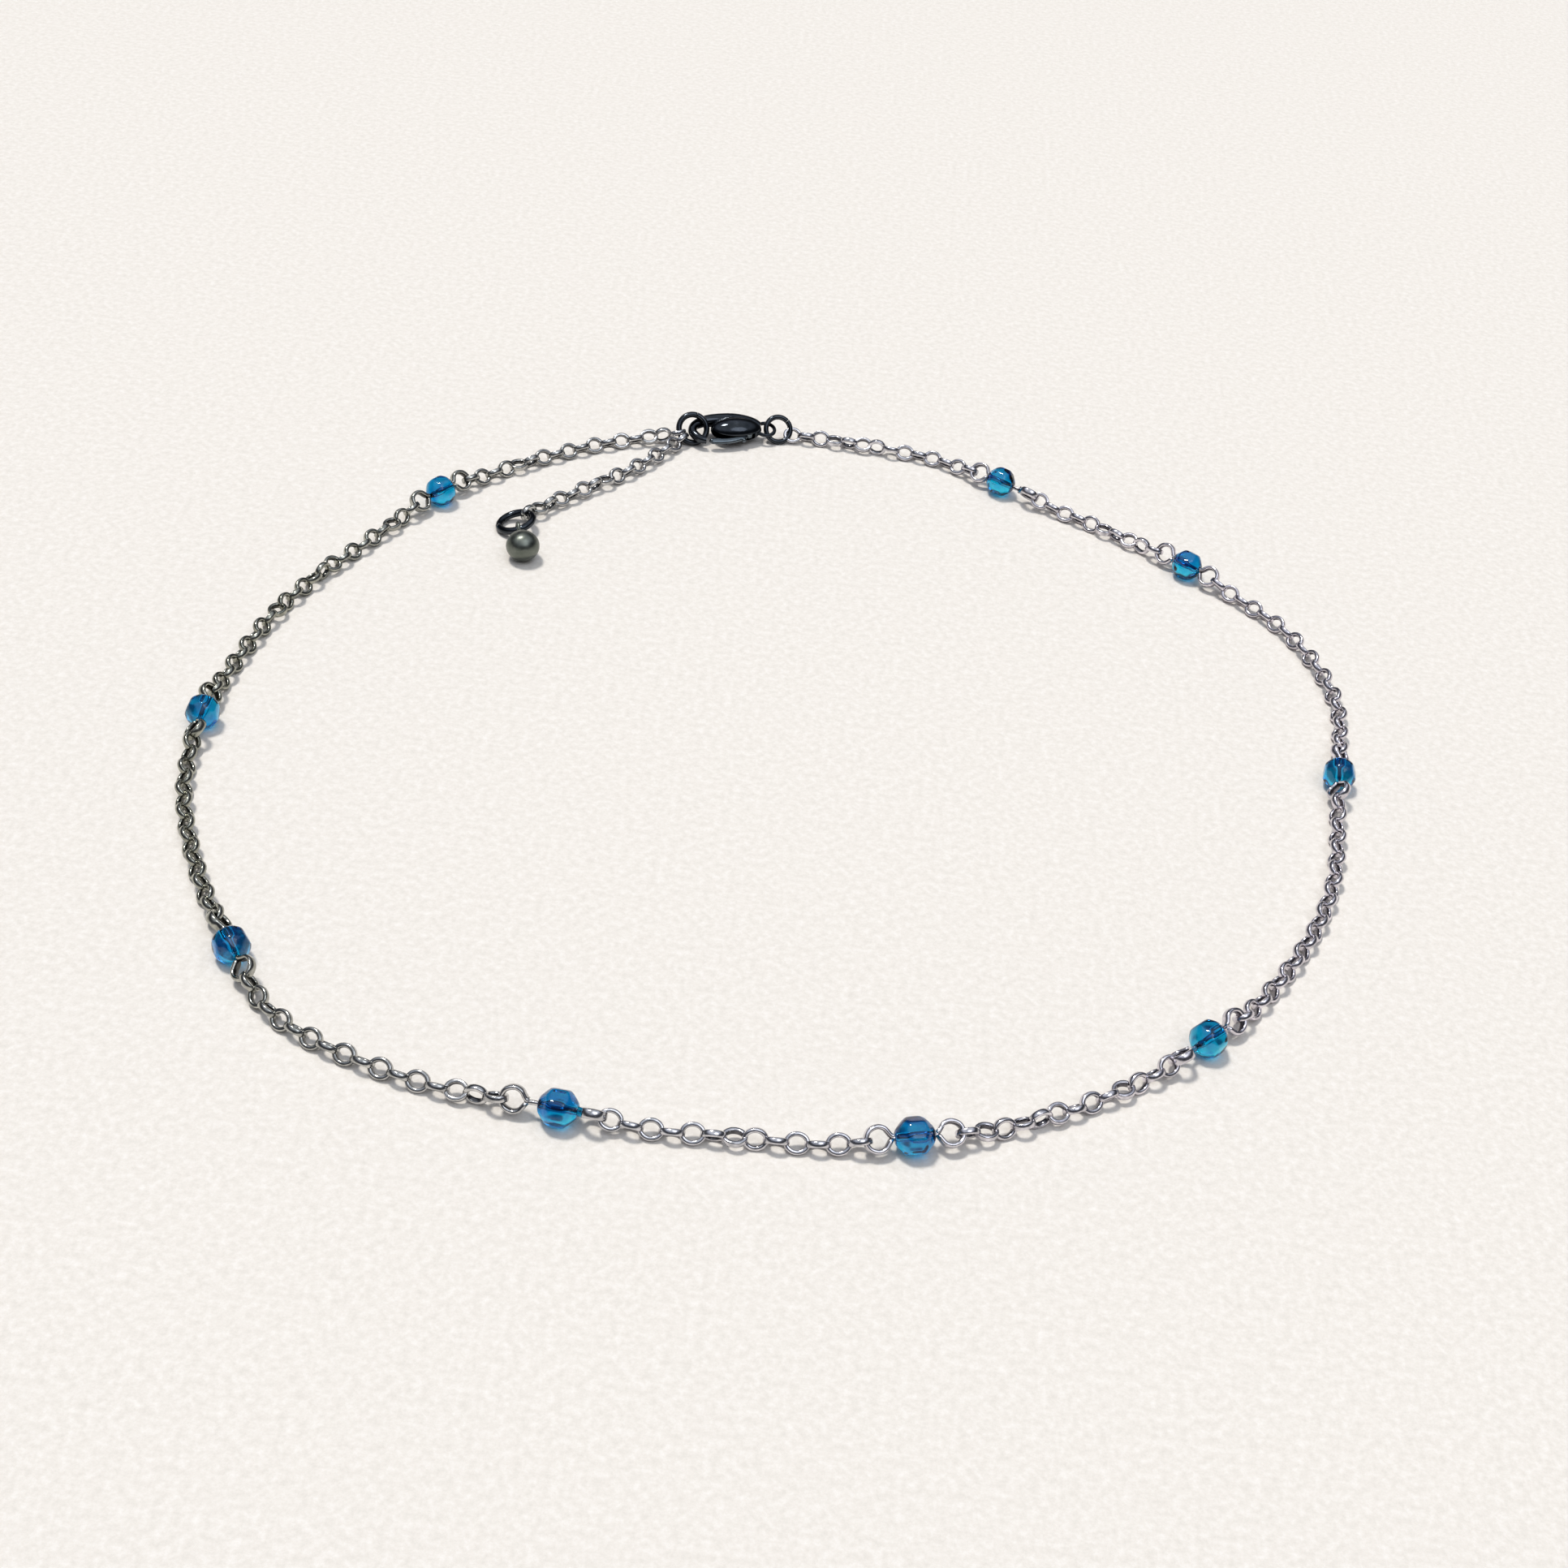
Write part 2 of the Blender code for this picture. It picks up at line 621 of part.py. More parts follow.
def make_clasp_body(clasp):
    """Claw, belly and tail eye in one casting, slotted for the lever and riveted."""
    points = [clasp_point(x, y) for x, y, _ in CLAW_LINE]
    radii = [share * CLAW_WIRE / 2 for _, _, share in CLAW_LINE]
    body = add_part("clasp_body", wire_mesh("clasp_body", points, radii), "dark_metal", parent=clasp)
    belly_half = (CLASP_BELLY_LENGTH / 2, CLASP_BELLY_WIDTH / 2, CLASP_THICKNESS / 2)
    belly = ball_mesh("clasp_belly", belly_half, Matrix.Translation((CLASP_BELLY_X, CLASP_BELLY_Y, 0)))
    combine(body, add_cutter("clasp_belly", belly, clasp), "UNION")
    eye = ring_mesh("tail_eye", (TAIL_EYE_OUTER - TAIL_EYE_WIRE) / 2, TAIL_EYE_WIRE, RING_SIDES, RING_WIRE_SIDES)
    eye.transform(Matrix.Translation((CLASP_LENGTH / 2 - TAIL_EYE_OUTER / 2, 0, 0)))
    combine(body, add_cutter("tail_eye", eye, clasp), "UNION")
    slot_half = LEVER_THICKNESS / 2 + LEVER_SIDE_GAP
    slot_end = LEVER_PIVOT_X + LEVER_HUB / 2 + LEVER_SIDE_GAP
    slot_top = LEVER_PIVOT_Y + LEVER_HUB / 2 + LEVER_SIDE_GAP
    slot = box_mesh("lever_slot", (slot_end - CLASP_BELLY_LENGTH, -CLASP_WIDTH, -slot_half),
                    (slot_end, slot_top, slot_half))
    combine(body, add_cutter("lever_slot", slot, clasp), "DIFFERENCE")
    rivet = cylinder_mesh("rivet", RIVET / 2, CLASP_THICKNESS - 2 * RIVET_INSET, RIVET_SIDES,
                          Matrix.Translation((LEVER_PIVOT_X, LEVER_PIVOT_Y, 0)))
    combine(body, add_cutter("rivet", rivet, clasp), "UNION")
    return body


def make_clasp_lever(clasp):
    """The sprung lever: a bored hub on the rivet, an arm to the claw's tip and a knob."""
    pivot = Vector((LEVER_PIVOT_X, LEVER_PIVOT_Y, 0))
    tip_x = -CLASP_LENGTH / 2 + CLAW_LINE[0][0] * CLASP_LENGTH + LEVER_TIP_GAP
    tip = (tip_x, CLAW_LINE[0][1] * CLASP_WIDTH / 2, 0)
    line = [tuple(pivot + Vector((-LEVER_HUB / 4, -LEVER_HUB / 8, 0)))]
    line += [clasp_point(x, y) for x, y in LEVER_LINE] + [tip]
    points = [tuple(Vector(p) - pivot) for p in line]
    arm = wire_mesh("clasp_lever", points, [LEVER_THICKNESS / 2] * len(points))
    lever = add_part("clasp_lever", arm, "dark_metal", Matrix.Translation(pivot), clasp)
    place = Matrix.Translation(pivot)
    hub = cylinder_mesh("lever_hub", LEVER_HUB / 2, LEVER_THICKNESS, HUB_SIDES)
    combine(lever, add_cutter("lever_hub", hub, clasp, place), "UNION")
    knob_middle = Vector(points[1]) + Vector((KNOB_ALONG, -KNOB_DROP, 0))
    knob_place = Matrix.Translation(knob_middle)
    knob = ball_mesh("lever_knob", (KNOB / 2,) * 3, knob_place, *KNOB_SIDES)
    combine(lever, add_cutter("lever_knob", knob, clasp, place), "UNION")
    bore = cylinder_mesh("lever_bore", RIVET / 2 + RIVET_GAP, CLASP_THICKNESS, RIVET_SIDES)
    combine(lever, add_cutter("lever_bore", bore, clasp, place), "DIFFERENCE")
    return lever


def make_clasp(middle, turn):
    """The clasp level between its two rings, its claw clear above the catch ring's wire."""
    height = CATCH_RING_WIRE + CLAW_RING_GAP + CLAW_WIRE / 2
    roll = Matrix.Rotation(math.radians(CLASP_ROLL), 4, "X")
    clasp = add_place("clasp_place", Matrix.Translation((*middle, height)) @ turn @ roll, whole)
    make_clasp_body(clasp)
    make_clasp_lever(clasp)


def make_closure(catch_hook, clasp_hook):
    """The clasp and its two rings, turned to reach from one chain end to the other."""
    catch_middle = Vector((*CATCH_RING_IN_CLASP, CATCH_RING_HEIGHT))
    clasp_middle = Vector((*CLASP_RING_IN_CLASP, CLASP_RING_HEIGHT))
    catch_here = catch_middle + ring_offset(CATCH_RING_MEAN, CATCH_RING_HOOK)
    clasp_here = clasp_middle + ring_offset(CLASP_RING_MEAN, CLASP_RING_HOOK)
    span = clasp_here - catch_here
    run = clasp_hook - catch_hook
    turn = Matrix.Rotation(math.atan2(run.y, run.x) - math.atan2(span.y, span.x), 4, "Z")
    origin = catch_hook - turn @ catch_here
    leaning_ring("catch_ring", CATCH_RING_MEAN, CATCH_RING_WIRE, origin + turn @ catch_middle, turn)
    leaning_ring("clasp_ring", CLASP_RING_MEAN, CLASP_RING_WIRE, origin + turn @ clasp_middle, turn)
    make_clasp((origin.x, origin.y), turn)
    return origin + turn @ (catch_middle + ring_offset(CATCH_RING_MEAN, EXTENDER_HOOK))


# End of the extender
def make_end_drop(ring_place):
    """The drop: a turned body whose eye goes round the end ring's wire."""
    heading = math.radians(DROP_HEADING)
    out = Vector((math.cos(heading), math.sin(heading), 0))
    eye_middle = ring_place + out * END_RING_MEAN + Vector((0, 0, END_RING_LIFT * out.x))
    eye_mean = END_RING_WIRE / 2 + DROP_EYE_GAP + DROP_EYE_WIRE / 2
    to_widest = eye_mean + DROP_WIDEST * DROP_LENGTH
    pitch = math.asin((DROP_DIAMETER / 2 - eye_middle.z) / to_widest)
    along = out * math.cos(pitch) + Vector((0, 0, math.sin(pitch)))
    profile = [(r * DROP_DIAMETER / 2, -eye_mean - z * DROP_LENGTH) for z, r in DROP_PROFILE]
    profile = [(0, profile[0][1])] + profile + [(0, -eye_mean - DROP_LENGTH)]
    place = turned_frame(-along, eye_middle, 0)
    drop = add_part("end_drop", section_mesh("end_drop", profile, closed=False), "polished_drop", place)
    turn_section(drop, DROP_SIDES)
    eye = ring_mesh("drop_eye", eye_mean, DROP_EYE_WIRE, EYE_SIDES, RING_WIRE_SIDES)
    eye.transform(Matrix.Rotation(math.pi / 2, 4, "X"))
    combine(drop, add_cutter("drop_eye", eye, place=place), "UNION")
    return drop


def make_extender(mesh, start):
    """The extender's links, end ring and drop, laid from its place on the catch ring."""
    end_height = END_RING_HEIGHT + END_RING_LIFT * math.cos(math.radians(END_RING_HOOK))
    laid = Laid(mesh, EXTENDER, 0.0, (start.z, hook(CATCH_RING_WIRE)), (end_height, hook(END_RING_WIRE)))
    path = Path(EXTENDER_ROUTE, laid.end, closed=False)
    path.move(Vector(start[:2]) - Vector(path.at(0.0)))
    make_chain(laid, mesh, path, (0, 0))
    angle = math.radians(END_RING_HOOK)
    end = Vector((*path.at(laid.end), END_RING_HEIGHT))
    middle = end - END_RING_MEAN * Vector((math.cos(angle), math.sin(angle), 0))
    tilt = Matrix.Rotation(-math.radians(END_RING_TILT), 4, "Y")
    make_ring("end_ring", END_RING_MEAN, END_RING_WIRE, Matrix.Translation(middle) @ tilt)
    make_end_drop(middle)


# The whole loop
def lay_out(mesh):
    """Every stretch in order round the loop, and the length of the whole loop."""
    eye = (BEAD_HEIGHT, (PIN_EYE_OUTER - PIN_WIRE) / 2 + hook(PIN_WIRE))
    catch = CATCH_RING_HEIGHT + ring_offset(CATCH_RING_MEAN, CATCH_RING_HOOK).z
    clasp = CLASP_RING_HEIGHT + ring_offset(CLASP_RING_MEAN, CLASP_RING_HOOK).z
    starts = [(catch, hook(CATCH_RING_WIRE))] + [eye] * len(BEADS)
    ends = [eye] * len(BEADS) + [(clasp, hook(CLASP_RING_WIRE))]
    spans = [bead.span * PIN_SPAN for bead in BEADS] + [closure_span()]
    rows = []
    distance = 0.0
    for stretch, start, end, span in zip(STRETCHES, starts, ends, spans):
        rows.append(Laid(mesh, stretch, distance, start, end))
        distance = rows[-1].end + span
    return rows, distance


def closure_span():
    """Distance along the ground between the two chain ends that the clasp joins."""
    catch = Vector((*CATCH_RING_IN_CLASP, 0)) + ring_offset(CATCH_RING_MEAN, CATCH_RING_HOOK)
    clasp = Vector((*CLASP_RING_IN_CLASP, 0)) + ring_offset(CLASP_RING_MEAN, CLASP_RING_HOOK)
    return (clasp - catch).to_2d().length


def make_chains(rows, mesh, path):
    clear_of_eye = PIN_EYE_OUTER / 2 + CHAIN_TUBE_GAP
    starts = [CATCH_RING_WIRE / 2 + CHAIN_TUBE_GAP] + [clear_of_eye] * len(BEADS)
    ends = [clear_of_eye] * len(BEADS) + [CLASP_RING_WIRE / 2 + CHAIN_TUBE_GAP]
    tips = [CATCH_TUBE_TIP] + [None] * len(BEADS)
    for laid, start, end, tip in zip(rows, starts, ends, tips):
        make_chain(laid, mesh, path, (start, end), tip)


def make_beads(rows, path):
    for number, (bead, laid, following) in enumerate(zip(BEADS, rows, rows[1:]), 1):
        before = laid.ends(path)[1]
        after = following.ends(path)[0]
        make_bead(number, before, after, bead.slide)
        make_eye_pin(number, before, after, laid.rolls[-1] + 90, following.rolls[0] - 90)


def centre_on_ground():
    """Moves the necklace so that the middle of its box is over the origin."""
    bpy.context.view_layer.update()
    graph = bpy.context.evaluated_depsgraph_get()
    places = []
    for part in parts.objects:
        if part.type != "EMPTY":
            mesh = bpy.data.meshes.new_from_object(part.evaluated_get(graph))
            places += [(part.matrix_world @ v.co)[:2] for v in mesh.vertices]
    middle = (np.min(places, axis=0) + np.max(places, axis=0)) / 2
    whole.location = (-middle[0], -middle[1], 0)


def main():
    mesh = link_mesh()
    rows, length = lay_out(mesh)
    path = Path(LOOP_ROUTE, length, closed=True)
    make_chains(rows, mesh, path)
    make_beads(rows, path)
    extender_start = make_closure(rows[0].ends(path)[0], rows[-1].ends(path)[1])
    make_extender(mesh, extender_start)
    centre_on_ground()


for old in list(bpy.data.objects):
    bpy.data.objects.remove(old)
parts = new_collection("beaded_chain_necklace")
cutters = new_collection("cutters")
whole = add_place("necklace_place")
main()
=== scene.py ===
"""Looks of the beaded chain necklace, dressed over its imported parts."""

import math
from collections import namedtuple

import bmesh
import bpy
import numpy as np
from mathutils import Matrix, Vector

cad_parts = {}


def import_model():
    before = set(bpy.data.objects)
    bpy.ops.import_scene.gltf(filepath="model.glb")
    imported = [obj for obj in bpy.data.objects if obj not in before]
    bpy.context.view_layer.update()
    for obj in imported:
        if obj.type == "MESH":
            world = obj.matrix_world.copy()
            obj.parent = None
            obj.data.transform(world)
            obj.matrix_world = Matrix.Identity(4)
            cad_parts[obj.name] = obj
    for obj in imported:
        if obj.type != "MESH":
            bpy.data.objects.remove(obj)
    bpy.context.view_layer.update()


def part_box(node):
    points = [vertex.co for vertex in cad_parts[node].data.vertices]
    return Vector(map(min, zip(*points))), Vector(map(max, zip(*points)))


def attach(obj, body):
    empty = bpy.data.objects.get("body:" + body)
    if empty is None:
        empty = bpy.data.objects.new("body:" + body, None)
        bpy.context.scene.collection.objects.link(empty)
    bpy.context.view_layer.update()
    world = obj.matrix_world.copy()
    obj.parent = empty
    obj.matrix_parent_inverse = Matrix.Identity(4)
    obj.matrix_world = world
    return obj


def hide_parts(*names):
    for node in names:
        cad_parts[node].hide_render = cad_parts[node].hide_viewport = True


MM = 0.001

# Finer forms of the shown pieces
LINK_BAND = 0.52 * MM
LINK_BAND_DEPTH = 0.72 * MM
EYE_BAND = 0.56 * MM
EYE_BAND_DEPTH = 1.05 * MM
BEAD_SPAN = 4.2 * MM
BEAD_SHOULDER = 2.02 * MM
CATCH_RING_BAND = 0.86 * MM
CLASP_RING_BAND = 0.76 * MM
END_RING_BAND = 1.0 * MM
BEAD_CUTS = 7
BEAD_CRISPNESS = 19
BORE = 0.62 * MM
CLAW_BAND = 1.3 * MM
CLAW_INSET = 0.94
BELLY_REACH = 2.2 * MM
LEVER_BAND = 1.1 * MM
DROP_BREADTH = 1.1
# Painted shade on wire walls: its level on the inner wall and how far the outer wall is lifted out of it
WALL_SHADE_LEVEL = 0.15
RIM_SHADE_LIFT = 0.60
RING_SLIT = 1.2
CATCH_RING_SEAM = 70.0
CLASP_RING_SEAM = 40.0
END_RING_SEAM = 200.0
CASTING_VOXEL = 0.06 * MM
CASTING_ROUNDS = 8
LEVER_VOXEL = 0.05 * MM
LEVER_ROUNDS = 4
LEVER_BORE_GAP = 0.1 * MM
RIVET_REACH = 0.75
BEAD_CREASE = math.radians(50)
CASTING_CREASE = math.radians(40)
DROP_CREASE = math.radians(60)

# Finishes: stops of a ramp as (position, colour or roughness)
STEEL_TONES = [(0.3, (0.42, 0.42, 0.43)), (0.5, (0.66, 0.65, 0.67)), (0.75, (0.92, 0.90, 0.93))]
STEEL_ROUGHNESS = [(0.3, 0.08), (0.75, 0.24)]
DARK_TONES = [(0.3, (0.025, 0.03, 0.036)), (0.6, (0.05, 0.056, 0.065)), (0.85, (0.13, 0.14, 0.155))]
DARK_ROUGHNESS = [(0.3, 0.03), (0.75, 0.15)]
# Painted light: the lever is a lighter copy of the dark plating, as if lit
LEVER_LIT_TONES = [(0.3, (0.07, 0.085, 0.10)), (0.75, (0.17, 0.20, 0.22))]
LEVER_ROUGHNESS = [(0.3, 0.05), (0.75, 0.18)]
DROP_TONES = [(0.3, (0.12, 0.135, 0.115)), (0.7, (0.20, 0.215, 0.19))]
DROP_ROUGHNESS = [(0.3, 0.26), (0.75, 0.42)]
# Painted shade on steel wire, from its inner wall to its flat faces
WALL_SHADE_TONES = [(0.0, (0.16, 0.16, 0.17)), (0.3, (0.26, 0.26, 0.27)), (0.7, (0.92, 0.92, 0.92)),
              (1.0, (1.0, 1.0, 1.0))]
# Painted light across the loop: darker olive grey on one side, lighter lilac grey on the other
SIDE_LIGHT_TONES = [(0.05, (0.52, 0.53, 0.44)), (0.45, (0.90, 0.90, 0.91)), (0.9, (1.0, 0.96, 1.0))]
SIDE_LIGHT_REACH = 72.0 * MM
WEAR_DEPTH = 0.02 * MM
GLASS_STREAKS = [(0.37, (0.0, 0.36, 0.74)), (0.50, (0.02, 0.82, 0.98)), (0.62, (0.14, 1.0, 1.0))]
# Painted shade in the beads: full tone low down, darker towards their tops
GLASS_TOP_SHADE = [(0.1, (1.0, 1.0, 1.0)), (0.42, (0.92, 0.96, 1.0)), (0.85, (0.3, 0.38, 0.64))]
GLASS_ROUGHNESS = [(0.3, 0.0), (0.8, 0.04)]
GLASS_IOR = 1.52
GLASS_ABSORPTION = (0.0, 0.845, 0.935, 1)
GLASS_DENSITY = 950.0
CARD_TONES = [(0.32, (0.76, 0.72, 0.665)), (0.5, (0.845, 0.80, 0.745)), (0.68, (0.93, 0.895, 0.855))]
CARD_ROUGHNESS = [(0.3, 0.75), (0.7, 0.95)]
BUMP_DEPTH = 0.05 * MM

# Room: each light as its name, place, spread in degrees, power and tone
FLOOR_REACH = 12
FLOOR_DROP = 0.02 * MM
SKY_TONES = [(0.0, (1.06, 1.03, 0.97)), (0.08, (0.98, 0.96, 0.92)), (0.2, (0.08, 0.085, 0.10)),
             (0.55, (0.09, 0.095, 0.115)), (0.8, (0.82, 0.88, 1.0)), (1.0, (0.9, 0.95, 1.0))]
SKY_STRENGTH = 0.8
LIGHTS = [
    ("key", (-0.50, 0.38, 1.78), 10.9, 1.96, (1.0, 0.965, 0.905)),
    ("fill", (0.7, -0.8, 1.7), 33.0, 0.40, (0.90, 0.94, 1.0)),
]
CAMERA_ELEVATION = math.radians(37.79)
CAMERA_ROLL = math.radians(6.557)
CAMERA_DISTANCE = 286.77 * MM
CAMERA_ANGLE = math.radians(36.396)
CAMERA_CLIP = (0.01, 10)

Stretch = namedtuple("Stretch", "name links first_roll")
Twist = namedtuple("Twist", "name after_link turn")
Bead = namedtuple("Bead", "span slide spin")

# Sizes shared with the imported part
LINK_LENGTH = 2.75 * MM
LINK_WIDTH = 2.40 * MM
LINK_WIRE = 0.32 * MM
LINK_WIRE_DEPTH = 0.50 * MM
LINK_BEDDING = 0.06 * MM
LINK_ROLL = 45.0
LINK_SIDES = 10
LINK_WIRE_SIDES = 5
BEAD_DIAMETER = 4.0 * MM
BEAD_LENGTH = 3.8 * MM
BEAD_FACETS = 10
PIN_WIRE = 0.50 * MM
PIN_EYE_OUTER = 3.10 * MM
PIN_SPAN = 8.0 * MM
HOOK_GAP = 0.20 * MM
CATCH_RING_OUTER = 4.9 * MM
CATCH_RING_WIRE = 0.80 * MM
CLASP_RING_OUTER = 4.3 * MM
CLASP_RING_WIRE = 0.66 * MM
END_RING_OUTER = 5.6 * MM
END_RING_WIRE = 0.90 * MM
RING_LEAN = 38.0
CATCH_RING_HOOK = 190.0
EXTENDER_HOOK = 222.0
CLASP_RING_HOOK = -25.0
END_RING_TILT = 17.0
END_RING_HOOK = 59.0
RING_WIRE_SIDES = 6
CLASP_LENGTH = 13.0 * MM
CLASP_BELLY_LENGTH = 5.4 * MM
CLASP_BELLY_WIDTH = 4.1 * MM
CLASP_THICKNESS = 3.2 * MM
CLASP_BELLY_X = 1.6 * MM
CLASP_BELLY_Y = 0.1 * MM
CLAW_WIRE = 1.0 * MM
CLASP_WIDTH = 6.0 * MM
CLASP_ROLL = 12.0
TAIL_EYE_OUTER = 3.20 * MM
TAIL_EYE_WIRE = 0.56 * MM
LEVER_THICKNESS = 0.76 * MM
LEVER_HUB = 1.5 * MM
LEVER_PIVOT_X = 2.2 * MM
LEVER_PIVOT_Y = -0.75 * MM
LEVER_TIP_GAP = 0.25 * MM
LEVER_SIDE_GAP = 0.13 * MM
RIVET = 0.50 * MM
KNOB = 0.70 * MM
CLAW_RING_GAP = 0.55 * MM
DROP_DIAMETER = 4.1 * MM
DROP_LENGTH = 6.4 * MM
DROP_EYE_WIRE = 0.50 * MM
DROP_EYE_GAP = 0.22 * MM

# Middle line of the chain on the ground in mm, from the catch ring round to the clasp's ring
LOOP_ROUTE = [
    (-21.1, 78.5), (-31.5, 74.0), (-43.0, 64.8), (-51.7, 54.8), (-59.5, 40.5),
    (-66.0, 26.0), (-69.2, 12.0), (-70.3, -1.0), (-69.0, -14.5), (-64.5, -27.0),
    (-57.0, -40.8), (-50.0, -50.0), (-38.0, -55.9), (-19.3, -59.6), (0.0, -60.0),
    (17.1, -58.1), (33.0, -51.0), (48.8, -38.5), (59.0, -24.3), (65.5, -9.0),
    (68.5, 12.5), (70.2, 30.0), (65.0, 45.0), (53.1, 56.8), (40.5, 66.2),
    (27.0, 73.7), (17.0, 80.2), (8.0, 81.6), (-5.4, 82.3),
]
EXTENDER_ROUTE = [
    (-20.5, 77.6), (-22.3, 74.3), (-26.9, 66.9), (-31.7, 61.2), (-36.6, 55.4), (-39.8, 50.9),
]
STRETCHES = [
    Stretch("chain_1", 17, -LINK_ROLL), Stretch("chain_2", 24, -LINK_ROLL),
    Stretch("chain_3", 16, LINK_ROLL), Stretch("chain_4", 16, LINK_ROLL),
    Stretch("chain_5", 13, -LINK_ROLL), Stretch("chain_6", 13, LINK_ROLL),
    Stretch("chain_7", 22, LINK_ROLL), Stretch("chain_8", 20, LINK_ROLL),
    Stretch("chain_9", 10, -LINK_ROLL), Stretch("chain_10", 14, -LINK_ROLL),
]
EXTENDER = Stretch("extender_chain", 16, -55.0)
# Where a stretch turns over: its name, the link it is centred after and the turn in degrees
TWISTS = [
    Twist("chain_1", 2, 90.0), Twist("chain_1", 13, -90.0),
    Twist("chain_2", 3, 90.0), Twist("chain_2", 10, -90.0), Twist("chain_2", 15, 90.0),
    Twist("chain_4", 15, 90.0), Twist("chain_5", 7, 90.0),
    Twist("chain_6", 2, 90.0), Twist("chain_6", 5, -90.0), Twist("chain_6", 10, 90.0),
    Twist("chain_9", 2, 90.0), Twist("chain_9", 5, -90.0),
    Twist("chain_10", 8, 90.0), Twist("chain_10", 11, -90.0),
    Twist("extender_chain", 9, 90.0), Twist("extender_chain", 14, -35.0),
]
TWIST_SPREAD = 3
# Each bead's pin as a share of PIN_SPAN, its slide along the pin and its spin in degrees
BEADS = [
    Bead(0.98, 0.0, 0), Bead(0.90, 0.0, 17), Bead(1.00, 0.0, 34), Bead(1.02, 0.9, 9),
    Bead(0.96, 0.0, 26), Bead(1.12, 0.0, 43), Bead(0.96, -0.8, 13), Bead(0.93, 0.0, 30), Bead(1.05, 0.9, 5),
]
# How far the three links nearest to an end have settled towards the ground
SETTLING = (0.40, 0.80, 0.97)
# Shares of the clasp's length, of its half width and of the claw's band
CLAW_LINE = [
    (0.196, -0.73, 0.76), (0.123, -0.635, 0.90), (0.067, -0.365, 1.0), (0.0385, 0.0, 1.0),
    (0.067, 0.365, 1.05), (0.138, 0.615, 1.2), (0.238, 0.75, 1.4), (0.362, 0.77, 1.6),
    (0.50, 0.673, 1.9), (0.638, 0.48, 2.0), (0.746, 0.27, 1.8), (0.815, 0.115, 1.3),
]
LEVER_LINE = [(0.594, -0.52), (0.50, -0.67), (0.40, -0.75), (0.30, -0.75)]
KNOB_PLACE = (0.60, -0.74)
# Shares of the drop's length from its eye and of its widest radius
DROP_PROFILE = [
    (0.0, 0.17), (0.12, 0.32), (0.30, 0.63), (0.48, 0.89), (0.64, 1.0), (0.80, 0.91), (0.93, 0.58),
]
DROP_WIDEST = 0.64
DROP_HEADING = -74.0


def section_growth(sides):
    return math.sqrt(2 * math.pi / (sides * math.sin(2 * math.pi / sides)))


LINK_RADIUS = LINK_WIRE / 2 * section_growth(LINK_WIRE_SIDES)
LINK_STRETCH = 2 * LINK_LENGTH / (LINK_LENGTH + LINK_WIDTH)
LINK_END = LINK_RADIUS * LINK_STRETCH * (1 + math.cos(math.pi / LINK_WIRE_SIDES))
PITCH = LINK_LENGTH - 2 * LINK_END + LINK_BEDDING
BEAD_HEIGHT = BEAD_DIAMETER / 2 * math.cos(math.pi / BEAD_FACETS)
LEAN = math.radians(RING_LEAN)
CATCH_RING_MEAN = (CATCH_RING_OUTER - CATCH_RING_WIRE) / 2
CLASP_RING_MEAN = (CLASP_RING_OUTER - CLASP_RING_WIRE) / 2
END_RING_MEAN = (END_RING_OUTER - END_RING_WIRE) / 2
RING_GROWTH = section_growth(RING_WIRE_SIDES)
CATCH_RING_HEIGHT = CATCH_RING_MEAN * math.cos(LEAN) + CATCH_RING_WIRE / 2 * RING_GROWTH
CLASP_RING_HEIGHT = CLASP_RING_MEAN * math.cos(LEAN) + CLASP_RING_WIRE / 2 * RING_GROWTH
END_RING_LIFT = END_RING_MEAN * math.sin(math.radians(END_RING_TILT))
END_RING_HEIGHT = END_RING_LIFT + END_RING_WIRE / 2 * RING_GROWTH
CATCH_RING_IN_CLASP = (-CLASP_LENGTH / 2 + 0.6 * MM, 0.4 * MM)
CLASP_RING_IN_CLASP = (CLASP_LENGTH / 2 + 0.30 * MM, 0.0)


# Layout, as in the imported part
def hook(wire):
    return LINK_LENGTH / 2 - LINK_END - HOOK_GAP - wire / 2


def ring_offset(mean, turn):
    angle = math.radians(turn)
    rise = mean * math.sin(angle)
    return Vector((mean * math.cos(angle), rise * math.sin(LEAN), rise * math.cos(LEAN)))


def smooth(points, closed, steps=24):
    """Centripetal Catmull-Rom through the points."""
    knots = [Vector(p) for p in points]
    count = len(knots)
    if closed:
        ends = [knots[-1]] + knots + knots[:2]
    else:
        ends = [2 * knots[0] - knots[1]] + knots + [2 * knots[-1] - knots[-2]]
    out = []
    for i in range(count if closed else count - 1):
        p0, p1, p2, p3 = ends[i:i + 4]
        t1 = (p1 - p0).length ** 0.5
        t2 = t1 + (p2 - p1).length ** 0.5
        t3 = t2 + (p3 - p2).length ** 0.5
        for k in range(steps):
            t = t1 + (t2 - t1) * k / steps
            a1 = p0.lerp(p1, t / t1)
            a2 = p1.lerp(p2, (t - t1) / (t2 - t1))
            a3 = p2.lerp(p3, (t - t2) / (t3 - t2))
            b1 = a1.lerp(a2, t / t2)
            b2 = a2.lerp(a3, (t - t1) / (t3 - t1))
            out.append(b1.lerp(b2, (t - t1) / (t2 - t1)))
    out.append(out[0].copy() if closed else knots[-1])
    return np.array([tuple(p) for p in out])


class Path:
    def __init__(self, points, length, closed):
        curve = smooth(points, closed) * MM
        raw = np.concatenate([[0], np.cumsum(np.linalg.norm(np.diff(curve, axis=0), axis=1))])
        size = length / raw[-1]
        middle = curve[:-1].mean(axis=0) if closed else curve[0]
        self.curve = middle + (curve - middle) * size
        self.along = raw * size

    def move(self, shift):
        self.curve = self.curve + np.array(tuple(shift))

    def at(self, distance):
        x = np.interp(distance, self.along, self.curve[:, 0])
        y = np.interp(distance, self.along, self.curve[:, 1])
        return float(x), float(y)


